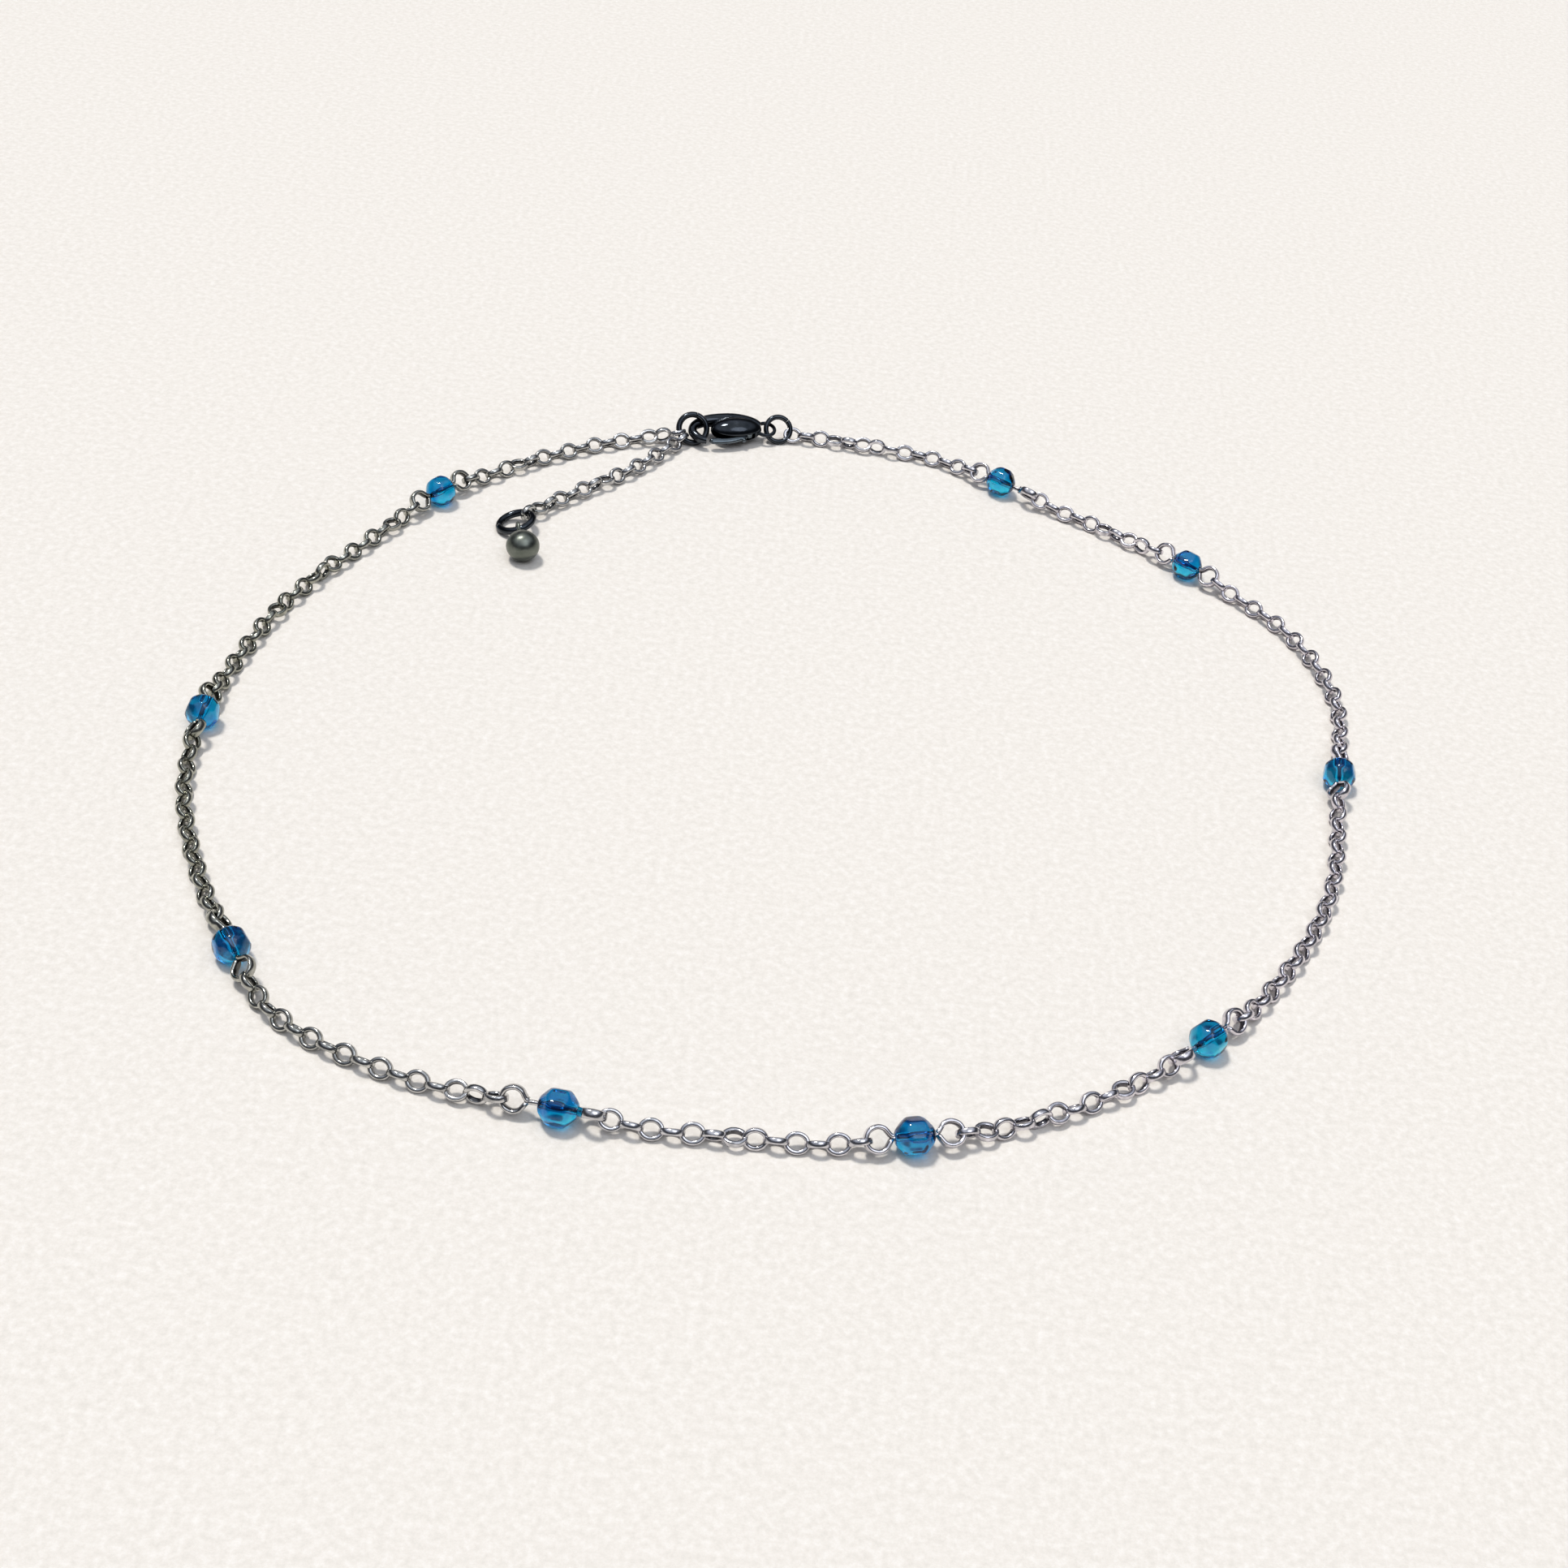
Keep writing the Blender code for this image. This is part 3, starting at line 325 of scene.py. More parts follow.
def link_frame(along, roll, place):
    x = Vector(along).normalized()
    side = Vector((0, 0, 1)).cross(x).normalized()
    up = x.cross(side)
    angle = math.radians(roll)
    z = math.cos(angle) * up + math.sin(angle) * side
    turn = Matrix((x, z.cross(x), z)).transposed()
    return Matrix.Translation(place) @ turn.to_4x4()


def turned_frame(along, place, spin):
    z = Vector(along).normalized()
    side = Vector((0, 0, 1)).cross(z).normalized()
    up = z.cross(side)
    turn = Matrix((up, -side, z)).transposed() @ Matrix.Rotation(spin, 3, "Z")
    return Matrix.Translation(place) @ turn.to_4x4()


def reach_below(roll):
    """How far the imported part's ten sided link reaches below its middle."""
    mean = (LINK_LENGTH + LINK_WIDTH) / 4
    low = 0.0
    frame = link_frame((1, 0, 0), roll, (0, 0, 0))
    for i in range(LINK_SIDES):
        a = 2 * math.pi * i / LINK_SIDES
        for j in range(LINK_WIRE_SIDES):
            b = 2 * math.pi * j / LINK_WIRE_SIDES
            r = mean - LINK_RADIUS + LINK_RADIUS * math.cos(b)
            point = Vector((r * math.cos(a) * LINK_LENGTH / 2 / mean, r * math.sin(a) * LINK_WIDTH / 2 / mean,
                            LINK_RADIUS * math.sin(b) * LINK_WIRE_DEPTH / LINK_WIRE))
            low = min(low, (frame @ point).z)
    return -low


class Laid:
    """A stretch as it lies: rolls, heights and distances along the ground."""

    def __init__(self, stretch, distance, start, end):
        self.stretch = stretch
        self.rolls = []
        for i in range(stretch.links):
            roll = stretch.first_roll + 90.0 * i
            for twist in TWISTS:
                if twist.name == stretch.name:
                    done = (i + 1 - twist.after_link) / TWIST_SPREAD + 0.5
                    roll += twist.turn * min(max(done, 0.0), 1.0)
            self.rolls.append(roll)
        (start_height, start_hook), (end_height, end_hook) = start, end
        ground = [reach_below(roll) for roll in self.rolls]
        self.heights = []
        for i in range(stretch.links):
            rest = max(ground[max(i - 1, 0):i + 2])
            for steps, height in ((i, start_height), (stretch.links - 1 - i, end_height)):
                if steps < len(SETTLING):
                    rest = max(rest, height + (rest - height) * SETTLING[steps])
            self.heights.append(rest)
        levels = [start_height] + self.heights + [end_height]
        lengths = [start_hook] + [PITCH] * (stretch.links - 1) + [end_hook]
        steps = [math.sqrt(run ** 2 - (b - a) ** 2) for run, a, b in zip(lengths, levels, levels[1:])]
        places = distance + np.cumsum(steps)
        self.start = distance
        self.places = list(places[:-1])
        self.end = float(places[-1])
        self.end_heights = (start_height, end_height)

    def ends(self, path):
        start = Vector((*path.at(self.start), self.end_heights[0]))
        return start, Vector((*path.at(self.end), self.end_heights[1]))

    def frames(self, path):
        start, end = self.ends(path)
        middles = [Vector((*path.at(d), h)) for d, h in zip(self.places, self.heights)]
        line = [start] + middles + [end]
        return [link_frame(c - a, roll, b) for a, b, c, roll in zip(line, middles, line[2:], self.rolls)]


# Meshes
def grid_mesh(name, rows, closed):
    """A skin over rows of points; open ends are capped."""
    rows = np.asarray(rows)
    count, around = rows.shape[:2]
    verts = rows.reshape(-1, 3).tolist()
    faces = []
    for i in range(count if closed else count - 1):
        a, b = i * around, (i + 1) % count * around
        for j in range(around):
            k = (j + 1) % around
            faces.append((a + j, a + k, b + k, b + j))
    if not closed:
        faces.append(tuple(range(around))[::-1])
        faces.append(tuple((count - 1) * around + j for j in range(around)))
    mesh = bpy.data.meshes.new(name)
    mesh.from_pydata(verts, [], faces)
    bm = bmesh.new()
    bm.from_mesh(mesh)
    if bm.calc_volume(signed=True) < 0:
        mesh.flip_normals()
    bm.free()
    mesh.shade_smooth()
    return mesh


def sweep(name, line, out, half_sizes, closed, around=12, power=2.0):
    """A wire along a flat line: half_sizes are across and square to the line's plane."""
    line = np.asarray(line, float)
    count = len(line)
    if closed:
        tangent = np.roll(line, -1, axis=0) - np.roll(line, 1, axis=0)
    else:
        tangent = np.gradient(line, axis=0)
    tangent /= np.linalg.norm(tangent, axis=1)[:, None]
    side = np.asarray(out, float)
    side = side - (side * tangent).sum(axis=1)[:, None] * tangent
    side /= np.linalg.norm(side, axis=1)[:, None]
    square = np.cross(tangent, side)
    angles = 2 * np.pi * np.arange(around) / around
    u = np.sign(np.cos(angles)) * np.abs(np.cos(angles)) ** (2 / power)
    v = np.sign(np.sin(angles)) * np.abs(np.sin(angles)) ** (2 / power)
    half = np.broadcast_to(np.asarray(half_sizes, float), (count, 2))
    rows = (line[:, None] + side[:, None] * (u[None, :] * half[:, :1])[..., None]
            + square[:, None] * (v[None, :] * half[:, 1:])[..., None])
    mesh = grid_mesh(name, rows, closed)
    # Painted shade: a wire's walls are darker than its flat faces, the inner wall darkest and the outer wall
    # lifted part way
    polish = np.clip(WALL_SHADE_LEVEL + (1 - WALL_SHADE_LEVEL) * np.abs(v) ** 3 + RIM_SHADE_LIFT * np.maximum(u, 0), 0, 1)
    layer = mesh.attributes.new("polish", "FLOAT", "POINT")
    layer.data.foreach_set("value", np.tile(polish, count))
    return mesh


def read(collection, key, width=1, kind=float):
    values = np.empty(len(collection) * width, kind)
    collection.foreach_get(key, values)
    return values


def joined(name, placed):
    """Placed meshes as one mesh, with their painted wall shade kept."""
    points, corners, starts, polish = [], [], [], []
    vertex_count = corner_count = 0
    for mesh, place in placed:
        turn = np.array(place.to_3x3())
        points.append(read(mesh.vertices, "co", 3).reshape(-1, 3) @ turn.T + np.array(place.translation))
        corners.append(read(mesh.loops, "vertex_index", 1, int) + vertex_count)
        starts.append(read(mesh.polygons, "loop_start", 1, int) + corner_count)
        layer = mesh.attributes.get("polish")
        polish.append(read(layer.data, "value") if layer else np.ones(len(mesh.vertices)))
        vertex_count += len(mesh.vertices)
        corner_count += len(mesh.loops)
    made = bpy.data.meshes.new(name)
    made.vertices.add(vertex_count)
    made.loops.add(corner_count)
    made.polygons.add(sum(len(s) for s in starts))
    made.vertices.foreach_set("co", np.concatenate(points).ravel())
    made.loops.foreach_set("vertex_index", np.concatenate(corners).astype(np.int32))
    made.polygons.foreach_set("loop_start", np.concatenate(starts).astype(np.int32))
    made.update(calc_edges=True)
    made.attributes.new("polish", "FLOAT", "POINT").data.foreach_set("value", np.concatenate(polish))
    made.shade_smooth()
    return made


def link_mesh():
    """One stamped oval link with a flat-sided wire."""
    angles = np.linspace(0, 2 * np.pi, 32, endpoint=False)
    half = LINK_BAND / 2
    x = (LINK_LENGTH / 2 - half) * np.cos(angles)
    y = (LINK_WIDTH / 2 - half) * np.sin(angles)
    line = np.stack([x, y, 0 * x], axis=1)
    out = np.stack([np.cos(angles), np.sin(angles), 0 * x], axis=1)
    return sweep("link", line, out, (half, LINK_BAND_DEPTH / 2), True, around=14, power=3.2)


def torus_mesh(name, mean, wire, cut=0.0, around=20, sides=96):
    """A round wire ring, with its ends a little apart where it was closed."""
    start = math.radians(cut) / 2
    closed = cut == 0
    angles = np.linspace(start, 2 * np.pi - start, sides, endpoint=not closed)
    line = np.stack([mean * np.cos(angles), mean * np.sin(angles), 0 * angles], axis=1)
    return sweep(name, line, line / mean, (wire / 2, wire / 2), closed, around)


def eye_mesh(name, neck):
    """A pin's eye about the origin, with its neck running out along +X."""
    r = (PIN_EYE_OUTER - EYE_BAND) / 2 / MM
    bend = [(1.22, 0.02), (1.06, 0.16), (0.86, 0.46), (0.56, 0.83), (0.0, 1.0), (-0.71, 0.71), (-1.0, 0.0),
            (-0.71, -0.71), (0.0, -1.0), (0.56, -0.83), (0.86, -0.46), (1.06, -0.22), (1.24, -0.16)]
    points = [(neck / MM, 0, 0), (0.7 * neck / MM + 0.3 * r, 0, 0)]
    points += [(x * r, y * r, 0) for x, y in bend]
    line = smooth(points, False, 8) * MM
    tangent = np.gradient(line, axis=0)
    out = np.stack([tangent[:, 1], -tangent[:, 0], 0 * tangent[:, 0]], axis=1)
    sizes = np.tile([EYE_BAND / 2, EYE_BAND_DEPTH / 2], (len(line), 1))
    sizes[:16] = PIN_WIRE / 2
    fade = np.linspace(0, 1, 12)[:, None]
    sizes[16:28] = sizes[15] * (1 - fade) + sizes[28] * fade
    return sweep(name, line, out, sizes, False, around=14, power=2.6)


def tube_mesh(name, points, radii, around=24, steps=10):
    """A round tube of changing radius along a flat smooth line."""
    knots = [(*p[:2], r) for p, r in zip(np.asarray(points) / MM, np.asarray(radii) / MM)]
    line = smooth(knots, False, steps)
    centre = np.stack([line[:, 0], line[:, 1], 0 * line[:, 0]], axis=1) * MM
    tangent = np.gradient(centre, axis=0)
    out = np.stack([tangent[:, 1], -tangent[:, 0], 0 * tangent[:, 0]], axis=1)
    half = np.repeat(line[:, 2:] * MM, 2, axis=1)
    return sweep(name, centre, out, half, False, around)


def ball_mesh(name, half_sizes, place, around=48, rows=32):
    bm = bmesh.new()
    bmesh.ops.create_uvsphere(bm, u_segments=around, v_segments=rows, radius=1,
                              matrix=place @ Matrix.Diagonal((*half_sizes, 1)))
    mesh = bpy.data.meshes.new(name)
    bm.to_mesh(mesh)
    bm.free()
    mesh.shade_smooth()
    return mesh


def cylinder_mesh(name, radius, length, place=Matrix.Identity(4), sides=48):
    bm = bmesh.new()
    bmesh.ops.create_cone(bm, cap_ends=True, segments=sides, radius1=radius, radius2=radius,
                          depth=length, matrix=place)
    mesh = bpy.data.meshes.new(name)
    bm.to_mesh(mesh)
    bm.free()
    return mesh


def facet_mesh(name):
    """A glass bead about Z with soft cut facets: a row round the middle and one to each end."""
    planes = [(0.0, k, BEAD_HEIGHT) for k in range(BEAD_CUTS)]
    planes += [(s * 45.0, k + 0.5, BEAD_SHOULDER) for s in (1, -1) for k in range(BEAD_CUTS)]
    planes += [(s * 90.0, 0, BEAD_SPAN / 2) for s in (1, -1)]
    lat = np.radians([p[0] for p in planes])
    lon = 2 * np.pi * np.array([p[1] for p in planes]) / BEAD_CUTS
    normals = np.stack([np.cos(lat) * np.cos(lon), np.cos(lat) * np.sin(lon), np.sin(lat)], axis=1)
    reach = np.array([p[2] for p in planes])
    ball = ball_mesh(name, (1, 1, 1), Matrix.Identity(4), 72, 44)
    ways = read(ball.vertices, "co", 3).reshape(-1, 3)
    nearness = np.maximum(ways @ normals.T, 0) / reach
    radius = (nearness ** BEAD_CRISPNESS).sum(axis=1) ** (-1 / BEAD_CRISPNESS)
    ball.vertices.foreach_set("co", (ways * radius[:, None]).ravel())
    return ball


def turned_mesh(name, profile, sides=64):
    """A profile of radius and height turned about Z, closed at its ends."""
    angles = np.linspace(0, 2 * np.pi, sides, endpoint=False)
    rows = [[(r * math.cos(a), r * math.sin(a), z) for a in angles] for r, z in profile]
    return grid_mesh(name, rows, False)


# Materials
def new_material(name):
    made = bpy.data.materials.new(name)
    made.use_nodes = True
    tree = made.node_tree
    return made, tree, tree.nodes["Principled BSDF"]


def noise_node(tree, scale, detail=4.0, rough=0.55):
    coordinates = tree.nodes.new("ShaderNodeTexCoord")
    noise = tree.nodes.new("ShaderNodeTexNoise")
    noise.inputs["Scale"].default_value = scale
    noise.inputs["Detail"].default_value = detail
    noise.inputs["Roughness"].default_value = rough
    tree.links.new(coordinates.outputs["Object"], noise.inputs["Vector"])
    return noise.outputs["Fac"]


def ramp_node(tree, source, stops):
    ramp = tree.nodes.new("ShaderNodeValToRGB")
    elements = ramp.color_ramp.elements
    while len(elements) < len(stops):
        elements.new(0.5)
    for element, (position, colour) in zip(elements, stops):
        element.position = position
        element.color = (*colour, 1)
    tree.links.new(source, ramp.inputs["Fac"])
    return ramp.outputs["Color"]


def bump_node(tree, source, strength, distance):
    bump = tree.nodes.new("ShaderNodeBump")
    bump.inputs["Strength"].default_value = strength
    bump.inputs["Distance"].default_value = distance
    tree.links.new(source, bump.inputs["Height"])
    return bump.outputs["Normal"]


def grey_ramp_node(tree, source, stops):
    return ramp_node(tree, source, [(position, (value,) * 3) for position, value in stops])


def multiply_node(tree, first, second):
    mix = tree.nodes.new("ShaderNodeMix")
    mix.data_type = "RGBA"
    mix.blend_type = "MULTIPLY"
    sockets = {socket.identifier: socket for socket in mix.inputs}
    sockets["Factor_Float"].default_value = 1.0
    tree.links.new(first, sockets["A_Color"])
    tree.links.new(second, sockets["B_Color"])
    return next(o for o in mix.outputs if o.identifier == "Result_Color")


def metal(name, stops, rough_stops, grain, bump, with_painted_light=False):
    """Polished metal with a mottled tone, uneven roughness and fine wear, and for the steel also painted
    shade on the wire walls and painted light across the loop.
    """
    made, tree, shader = new_material(name)
    shader.inputs["Metallic"].default_value = 1.0
    colour = ramp_node(tree, noise_node(tree, grain), stops)
    if with_painted_light:
        # Painted shade darkens the wire walls, most of all the inner wall
        layer = tree.nodes.new("ShaderNodeAttribute")
        layer.attribute_name = "polish"
        colour = multiply_node(tree, colour, ramp_node(tree, layer.outputs["Fac"], WALL_SHADE_TONES))
        # Painted light shades the loop from side to side
        colour = multiply_node(tree, colour, painted_side_light(tree))
    tree.links.new(colour, shader.inputs["Base Color"])
    rough = grey_ramp_node(tree, noise_node(tree, grain * 2.3, 6.0), rough_stops)
    tree.links.new(rough, shader.inputs["Roughness"])
    wear = bump_node(tree, noise_node(tree, grain * 4, 5.0), bump, WEAR_DEPTH)
    tree.links.new(wear, shader.inputs["Normal"])
    return made


def place_node(tree, axis, low, high):
    """How far along an axis of the object a point lies, from 0 to 1."""
    coordinates = tree.nodes.new("ShaderNodeTexCoord")
    split = tree.nodes.new("ShaderNodeSeparateXYZ")
    tree.links.new(coordinates.outputs["Object"], split.inputs["Vector"])
    span = tree.nodes.new("ShaderNodeMapRange")
    span.inputs["From Min"].default_value = low
    span.inputs["From Max"].default_value = high
    tree.links.new(split.outputs[axis], span.inputs["Value"])
    return span.outputs["Result"]


def painted_side_light(tree):
    """Painted light: steel darker and olive grey on one side of the loop, lighter and lilac grey on the
    other.
    """
    return ramp_node(tree, place_node(tree, "X", -SIDE_LIGHT_REACH, SIDE_LIGHT_REACH), SIDE_LIGHT_TONES)


def glass(name):
    """Clear blue glass, streaked, with painted shade darkening it towards its top, and deeper in tone where
    the light has further to go.
    """
    made, tree, shader = new_material(name)
    shader.inputs["Transmission Weight"].default_value = 1.0
    shader.inputs["IOR"].default_value = GLASS_IOR
    streaks = ramp_node(tree, noise_node(tree, 430.0, 2.0), GLASS_STREAKS)
    # Painted shade: darker towards the bead's top
    top_shade = ramp_node(tree, place_node(tree, "Z", 0.0, BEAD_DIAMETER), GLASS_TOP_SHADE)
    tree.links.new(multiply_node(tree, streaks, top_shade), shader.inputs["Base Color"])
    rough = grey_ramp_node(tree, noise_node(tree, 1500.0, 4.0), GLASS_ROUGHNESS)
    tree.links.new(rough, shader.inputs["Roughness"])
    tree.links.new(bump_node(tree, noise_node(tree, 900.0), 0.08, BUMP_DEPTH), shader.inputs["Normal"])
    volume = tree.nodes.new("ShaderNodeVolumeAbsorption")
    volume.inputs["Color"].default_value = GLASS_ABSORPTION
    volume.inputs["Density"].default_value = GLASS_DENSITY
    tree.links.new(volume.outputs["Volume"], tree.nodes["Material Output"].inputs["Volume"])
    return made


def floor_finish(name):
    """A pale, matt, faintly mottled floor."""
    made, tree, shader = new_material(name)
    mottle = ramp_node(tree, noise_node(tree, 1100.0, 8.0, 0.75), CARD_TONES)
    tree.links.new(mottle, shader.inputs["Base Color"])
    rough = grey_ramp_node(tree, noise_node(tree, 300.0), CARD_ROUGHNESS)
    tree.links.new(rough, shader.inputs["Roughness"])
    shader.inputs["Specular IOR Level"].default_value = 0.15
    tree.links.new(bump_node(tree, noise_node(tree, 1600.0, 8.0), 0.2, BUMP_DEPTH), shader.inputs["Normal"])
    return made


# Pieces
def new_object(name, data):
    made = bpy.data.objects.new(name, data)
    bpy.context.scene.collection.objects.link(made)
    return made


def add_piece(name, mesh, finish, place, node, body="root"):
    """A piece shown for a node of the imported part, with its place kept in its mesh."""
    mesh.transform(place)
    piece = new_object(name, mesh)
    mesh.materials.clear()
    mesh.materials.append(finish)
    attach(piece, body)
    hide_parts(node)


def apply_modifiers(obj):
    """Bakes an object's modifiers into its mesh and returns the mesh."""
    bpy.context.view_layer.update()
    evaluated = obj.evaluated_get(bpy.context.evaluated_depsgraph_get())
    mesh = bpy.data.meshes.new_from_object(evaluated)
    bpy.data.objects.remove(obj)
    return mesh


def cut_away(mesh, taken):
    """A mesh less another mesh."""
    obj = new_object("cut", mesh)
    tool = new_object("tool", taken)
    step = obj.modifiers.new("cut", "BOOLEAN")
    step.operation = "DIFFERENCE"
    step.object = tool
    step.solver = "EXACT"
    out = apply_modifiers(obj)
    bpy.data.objects.remove(tool)
    return out


def melted(name, meshes, voxel, rounds):
    """Meshes run together into one smooth casting."""
    body = new_object(name, joined(name, [(m, Matrix.Identity(4)) for m in meshes]))
    remesh = body.modifiers.new("remesh", "REMESH")
    remesh.mode = "VOXEL"
    remesh.voxel_size = voxel
    soften = body.modifiers.new("soften", "SMOOTH")
    soften.factor = 0.5
    soften.iterations = rounds
    return apply_modifiers(body)


def make_beads(rows, path, finish, steel):
    bored = cut_away(facet_mesh("bead"), cylinder_mesh("bore", BORE / 2, 2 * BEAD_LENGTH, sides=32))
    bored.shade_smooth()
    bored.set_sharp_from_angle(angle=BEAD_CREASE)
    for number, (bead, laid, following) in enumerate(zip(BEADS, rows, rows[1:]), 1):
        before = laid.ends(path)[1]
        after = following.ends(path)[0]
        along = after - before
        play = along.length / 2 - PIN_EYE_OUTER / 2 - BEAD_LENGTH / 2
        middle = (before + after) / 2 + along.normalized() * play * bead.slide
        frame = turned_frame(along, middle, math.radians(bead.spin))
        add_piece(f"glass_bead_{number}", bored.copy(), finish, frame, f"bead_{number}")
        make_eye_pin(number, before, after, laid.rolls[-1] + 90, following.rolls[0] - 90, steel)


def make_eye_pin(number, before, after, first_roll, second_roll, finish):
    half = (after - before).length / 2
    frame = link_frame(after - before, 0, (before + after) / 2)
    eye = eye_mesh("eye", half)
    placed = [(eye, link_frame((1, 0, 0), first_roll, (-half, 0, 0))),
              (eye, Matrix.Rotation(math.pi, 4, "Z") @ link_frame((1, 0, 0), -second_roll, (-half, 0, 0)))]
    mesh = joined("pin", placed)
    add_piece(f"wire_pin_{number}", mesh, finish, frame, f"eye_pin_{number}")


def clasp_point(x_share, y_share):
    return (-CLASP_LENGTH / 2 + x_share * CLASP_LENGTH, y_share * CLASP_WIDTH / 2, 0)


def clasp_forms():
    """Claw, its tip, belly and tail eye before they run together."""
    claw = tube_mesh("claw", [clasp_point(x, y * CLAW_INSET) for x, y, _ in CLAW_LINE],
                     [share * CLAW_BAND / 2 for _, _, share in CLAW_LINE])
    tip_x, tip_y, tip_share = CLAW_LINE[0]
    tip = ball_mesh("tip", (tip_share * CLAW_WIRE / 2,) * 3, Matrix.Translation(clasp_point(tip_x, tip_y)))
    half_sizes = ((CLASP_BELLY_LENGTH + BELLY_REACH) / 2, CLASP_BELLY_WIDTH / 2, CLASP_THICKNESS / 2)
    middle = (CLASP_BELLY_X - BELLY_REACH / 2, CLASP_BELLY_Y, 0)
    belly = ball_mesh("belly", half_sizes, Matrix.Translation(middle))
    eye = torus_mesh("tail", (TAIL_EYE_OUTER - TAIL_EYE_WIRE) / 2, TAIL_EYE_WIRE)
    eye.transform(Matrix.Translation((CLASP_LENGTH / 2 - TAIL_EYE_OUTER / 2, 0, 0)))
    return [claw, tip, belly, eye]


def lever_slot():
    """The room that the lever moves in."""
    half = LEVER_THICKNESS / 2 + LEVER_SIDE_GAP
    reach = LEVER_HUB / 2 + LEVER_SIDE_GAP
    low = Vector((-CLASP_LENGTH / 3, -CLASP_WIDTH, -half))
    high = Vector((LEVER_PIVOT_X + reach, LEVER_PIVOT_Y + reach, half))
    place = Matrix.Translation((low + high) / 2) @ Matrix.Diagonal((*(high - low), 1))
    bm = bmesh.new()
    bmesh.ops.create_cube(bm, size=1, matrix=place)
    slot = bpy.data.meshes.new("slot")
    bm.to_mesh(slot)
    bm.free()
    return slot


def make_clasp(clasp, finish):
    body = cut_away(melted("clasp", clasp_forms(), CASTING_VOXEL, CASTING_ROUNDS), lever_slot())
    pin = cylinder_mesh("pin", RIVET / 2, CLASP_THICKNESS * RIVET_REACH,
                        Matrix.Translation((LEVER_PIVOT_X, LEVER_PIVOT_Y, 0)))
    body = joined("clasp_casting", [(body, Matrix.Identity(4)), (pin, Matrix.Identity(4))])
    body.set_sharp_from_angle(angle=CASTING_CREASE)
    add_piece("clasp_casting", body, finish, clasp, "clasp_body")
    # Painted light: the lever gets a lighter copy of the dark plating
    make_lever(clasp, metal("lever_lit_plating", LEVER_LIT_TONES, LEVER_ROUGHNESS, grain=600.0, bump=0.4))


def make_lever(clasp, finish):
    pivot = Vector((LEVER_PIVOT_X, LEVER_PIVOT_Y, 0))
    tip_x = -CLASP_LENGTH / 2 + CLAW_LINE[0][0] * CLASP_LENGTH + LEVER_TIP_GAP
    tip = (tip_x + LEVER_THICKNESS * 0.3, CLAW_LINE[0][1] * CLASP_WIDTH / 2, 0)
    line = [tuple(pivot + Vector((-LEVER_HUB / 4, -LEVER_HUB / 8, 0)))]
    line += [clasp_point(x, y) for x, y in LEVER_LINE] + [tip]
    points = [tuple(Vector(p) - pivot) for p in line]
    half = LEVER_THICKNESS / 2
    arm = sweep("arm", smooth([[c / MM for c in p] for p in points], False, 10) * MM,
                [(0, -1, 0)], (LEVER_BAND / 2, half), False, around=24)
    end = ball_mesh("end", (half,) * 3, Matrix.Translation(points[-1]), 24, 16)
    hub = cylinder_mesh("hub", LEVER_HUB / 2, LEVER_THICKNESS)
    knob_middle = Vector(clasp_point(*KNOB_PLACE)) - pivot
    knob = ball_mesh("knob", (KNOB / 2,) * 3, Matrix.Translation(knob_middle), 24, 16)
    lever = melted("lever", [arm, end, hub, knob], LEVER_VOXEL, LEVER_ROUNDS)
    bore = cylinder_mesh("bore", RIVET / 2 + LEVER_BORE_GAP, 2 * LEVER_THICKNESS)
    lever = cut_away(lever, bore)
    lever.shade_smooth()
    lever.set_sharp_from_angle(angle=CASTING_CREASE)
    place = clasp @ Matrix.Translation(pivot)
    add_piece("sprung_lever", lever, finish, place, "clasp_lever", "lever")


def make_drop(ring_place, finish):
    heading = math.radians(DROP_HEADING)
    out = Vector((math.cos(heading), math.sin(heading), 0))
    eye_middle = ring_place + out * END_RING_MEAN + Vector((0, 0, END_RING_LIFT * out.x))
    eye_mean = END_RING_WIRE / 2 + DROP_EYE_GAP + DROP_EYE_WIRE / 2
    to_widest = eye_mean + DROP_WIDEST * DROP_LENGTH
    pitch = math.asin((DROP_DIAMETER / 2 - eye_middle.z) / to_widest)
    along = out * math.cos(pitch) + Vector((0, 0, math.sin(pitch)))
    knots = [(0, 0.06)] + DROP_PROFILE + [(0.985, 0.28), (1.0, 0.01)]
    curve = smooth([(z, r, 0) for z, r in knots], False, 8)
    profile = [(max(r, 0.002) * DROP_DIAMETER / 2, -eye_mean - z * DROP_LENGTH) for z, r, _ in curve]
    body = turned_mesh("drop", profile)
    eye = torus_mesh("drop_eye", eye_mean, DROP_EYE_WIRE)
    eye.transform(Matrix.Rotation(math.pi / 2, 4, "X"))
    mesh = joined("end_drop", [(body, Matrix.Diagonal((1, DROP_BREADTH, 1, 1))), (eye, Matrix.Identity(4))])
    mesh.set_sharp_from_angle(angle=DROP_CREASE)
    add_piece("polished_drop", mesh, finish, turned_frame(-along, eye_middle, 0), "end_drop")


def lay_out():
    eye = (BEAD_HEIGHT, (PIN_EYE_OUTER - PIN_WIRE) / 2 + hook(PIN_WIRE))
    catch = CATCH_RING_HEIGHT + ring_offset(CATCH_RING_MEAN, CATCH_RING_HOOK).z
    clasp = CLASP_RING_HEIGHT + ring_offset(CLASP_RING_MEAN, CLASP_RING_HOOK).z
    starts = [(catch, hook(CATCH_RING_WIRE))] + [eye] * len(BEADS)
    ends = [eye] * len(BEADS) + [(clasp, hook(CLASP_RING_WIRE))]
    here = Vector((*CATCH_RING_IN_CLASP, 0)) + ring_offset(CATCH_RING_MEAN, CATCH_RING_HOOK)
    there = Vector((*CLASP_RING_IN_CLASP, 0)) + ring_offset(CLASP_RING_MEAN, CLASP_RING_HOOK)
    spans = [bead.span * PIN_SPAN for bead in BEADS] + [(there - here).to_2d().length]
    rows = []
    distance = 0.0
    for stretch, start, end, span in zip(STRETCHES, starts, ends, spans):
        rows.append(Laid(stretch, distance, start, end))
        distance = rows[-1].end + span
    return rows, distance


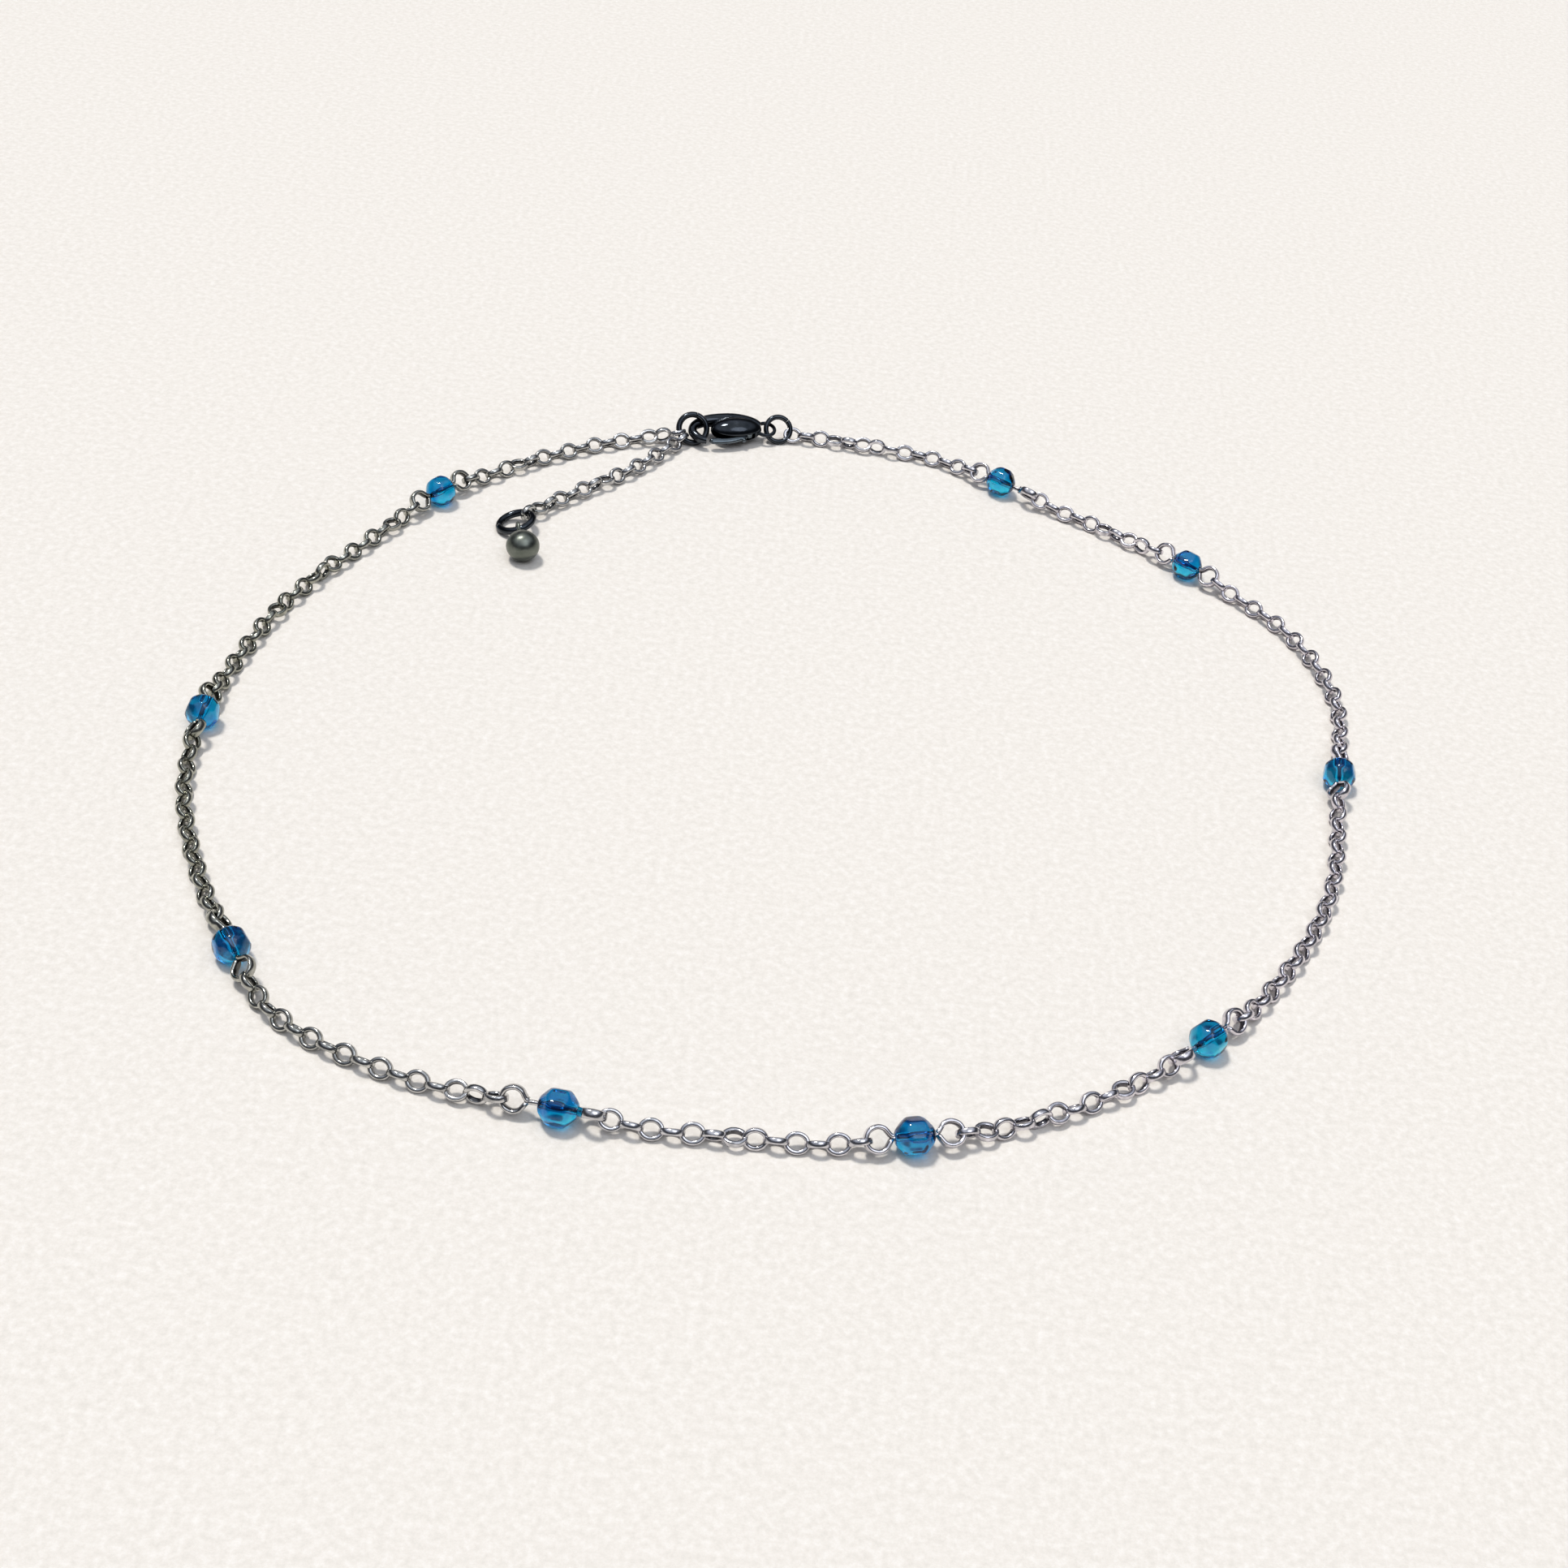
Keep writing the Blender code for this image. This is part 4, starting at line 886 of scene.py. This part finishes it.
def make_closure(catch_hook, clasp_hook, finish):
    catch_middle = Vector((*CATCH_RING_IN_CLASP, CATCH_RING_HEIGHT))
    clasp_middle = Vector((*CLASP_RING_IN_CLASP, CLASP_RING_HEIGHT))
    catch_here = catch_middle + ring_offset(CATCH_RING_MEAN, CATCH_RING_HOOK)
    clasp_here = clasp_middle + ring_offset(CLASP_RING_MEAN, CLASP_RING_HOOK)
    span = clasp_here - catch_here
    run = clasp_hook - catch_hook
    turn = Matrix.Rotation(math.atan2(run.y, run.x) - math.atan2(span.y, span.x), 4, "Z")
    origin = catch_hook - turn @ catch_here
    lean = Matrix.Rotation(math.pi / 2 - LEAN, 4, "X")
    rings = [
        ("catch_jump_ring", "catch_ring", catch_middle, CATCH_RING_MEAN, CATCH_RING_BAND, CATCH_RING_SEAM),
        ("clasp_jump_ring", "clasp_ring", clasp_middle, CLASP_RING_MEAN, CLASP_RING_BAND, CLASP_RING_SEAM),
    ]
    for name, node, middle, mean, band, seam_angle in rings:
        seam = Matrix.Rotation(math.radians(seam_angle), 4, "Z")
        place = Matrix.Translation(origin + turn @ middle) @ turn @ lean @ seam
        add_piece(name, torus_mesh(name, mean, band, cut=RING_SLIT), finish, place, node)
    height = CATCH_RING_WIRE + CLAW_RING_GAP + CLAW_WIRE / 2
    roll = Matrix.Rotation(math.radians(CLASP_ROLL), 4, "X")
    make_clasp(Matrix.Translation((origin.x, origin.y, height)) @ turn @ roll, finish)
    return origin + turn @ (catch_middle + ring_offset(CATCH_RING_MEAN, EXTENDER_HOOK))


def make_extender(start, link, steel, dark, drop):
    end_height = END_RING_HEIGHT + END_RING_LIFT * math.cos(math.radians(END_RING_HOOK))
    laid = Laid(EXTENDER, 0.0, (start.z, hook(CATCH_RING_WIRE)), (end_height, hook(END_RING_WIRE)))
    path = Path(EXTENDER_ROUTE, laid.end, closed=False)
    path.move(Vector(start[:2]) - Vector(path.at(0.0)))
    make_links(laid, path, link, steel)
    angle = math.radians(END_RING_HOOK)
    end = Vector((*path.at(laid.end), END_RING_HEIGHT))
    middle = end - END_RING_MEAN * Vector((math.cos(angle), math.sin(angle), 0))
    tilt = Matrix.Rotation(-math.radians(END_RING_TILT), 4, "Y")
    seam = Matrix.Rotation(math.radians(END_RING_SEAM), 4, "Z")
    add_piece("end_jump_ring", torus_mesh("end_ring", END_RING_MEAN, END_RING_BAND, cut=RING_SLIT), dark,
              Matrix.Translation(middle) @ tilt @ seam, "end_ring")
    make_drop(middle, drop)


def make_links(laid, path, link, finish):
    name = laid.stretch.name
    mesh = joined(name, [(link, frame) for frame in laid.frames(path)])
    add_piece("links_" + name, mesh, finish, Matrix.Identity(4), name)


# Room
def make_sky():
    """A room with a pale horizon, dim walls and a broad bright ceiling."""
    world = bpy.data.worlds.new("room")
    bpy.context.scene.world = world
    world.use_nodes = True
    tree = world.node_tree
    coordinates = tree.nodes.new("ShaderNodeTexCoord")
    split = tree.nodes.new("ShaderNodeSeparateXYZ")
    tree.links.new(coordinates.outputs["Generated"], split.inputs["Vector"])
    sky = ramp_node(tree, split.outputs["Z"], SKY_TONES)
    tree.links.new(sky, tree.nodes["Background"].inputs["Color"])
    tree.nodes["Background"].inputs["Strength"].default_value = SKY_STRENGTH


def make_room(middle):
    bm = bmesh.new()
    bmesh.ops.create_grid(bm, x_segments=1, y_segments=1, size=FLOOR_REACH)
    mesh = bpy.data.meshes.new("floor")
    bm.to_mesh(mesh)
    bm.free()
    mesh.materials.append(floor_finish("pale_card"))
    floor = new_object("floor", mesh)
    floor.location = (0, 0, -FLOOR_DROP)
    make_sky()
    for name, place, spread, power, tone in LIGHTS:
        light = bpy.data.lights.new(name, "SUN")
        light.angle = math.radians(spread)
        light.energy = power
        light.color = tone
        lamp = new_object(name, light)
        lamp.location = middle + Vector(place)
        lamp.rotation_euler = (-Vector(place)).to_track_quat("-Z", "Y").to_euler()


def make_camera(target):
    camera = bpy.data.cameras.new("camera")
    camera.angle = CAMERA_ANGLE
    camera.clip_start, camera.clip_end = CAMERA_CLIP
    holder = new_object("camera", camera)
    back = Vector((0, -math.cos(CAMERA_ELEVATION), math.sin(CAMERA_ELEVATION))) * CAMERA_DISTANCE
    level = Matrix.Rotation(math.pi / 2 - CAMERA_ELEVATION, 4, "X")
    holder.matrix_world = Matrix.Translation(target + back) @ level @ Matrix.Rotation(CAMERA_ROLL, 4, "Z")
    bpy.context.scene.camera = holder


def main():
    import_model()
    rows, length = lay_out()
    path = Path(LOOP_ROUTE, length, closed=True)
    low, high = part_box("bead_5")
    fifth = (rows[4].ends(path)[1] + rows[5].ends(path)[0]) / 2
    offset = (low + high) / 2 - fifth
    offset.z = 0
    path.move(offset.to_2d())
    # The steel carries painted wall shade and painted side light
    steel = metal("polished_steel", STEEL_TONES, STEEL_ROUGHNESS, grain=1300.0, bump=0.3, with_painted_light=True)
    dark = metal("dark_plating", DARK_TONES, DARK_ROUGHNESS, grain=600.0, bump=0.5)
    drop = metal("drop_plating", DROP_TONES, DROP_ROUGHNESS, grain=500.0, bump=0.12)
    link = link_mesh()
    for laid in rows:
        make_links(laid, path, link, steel)
    make_beads(rows, path, glass("blue_glass"), steel)
    start = make_closure(rows[0].ends(path)[0], rows[-1].ends(path)[1], dark)
    make_extender(start, link, steel, dark, drop)
    make_room(offset)
    make_camera(offset)
    bpy.context.scene.view_settings.view_transform = "Standard"
    bpy.context.view_layer.update()


main()
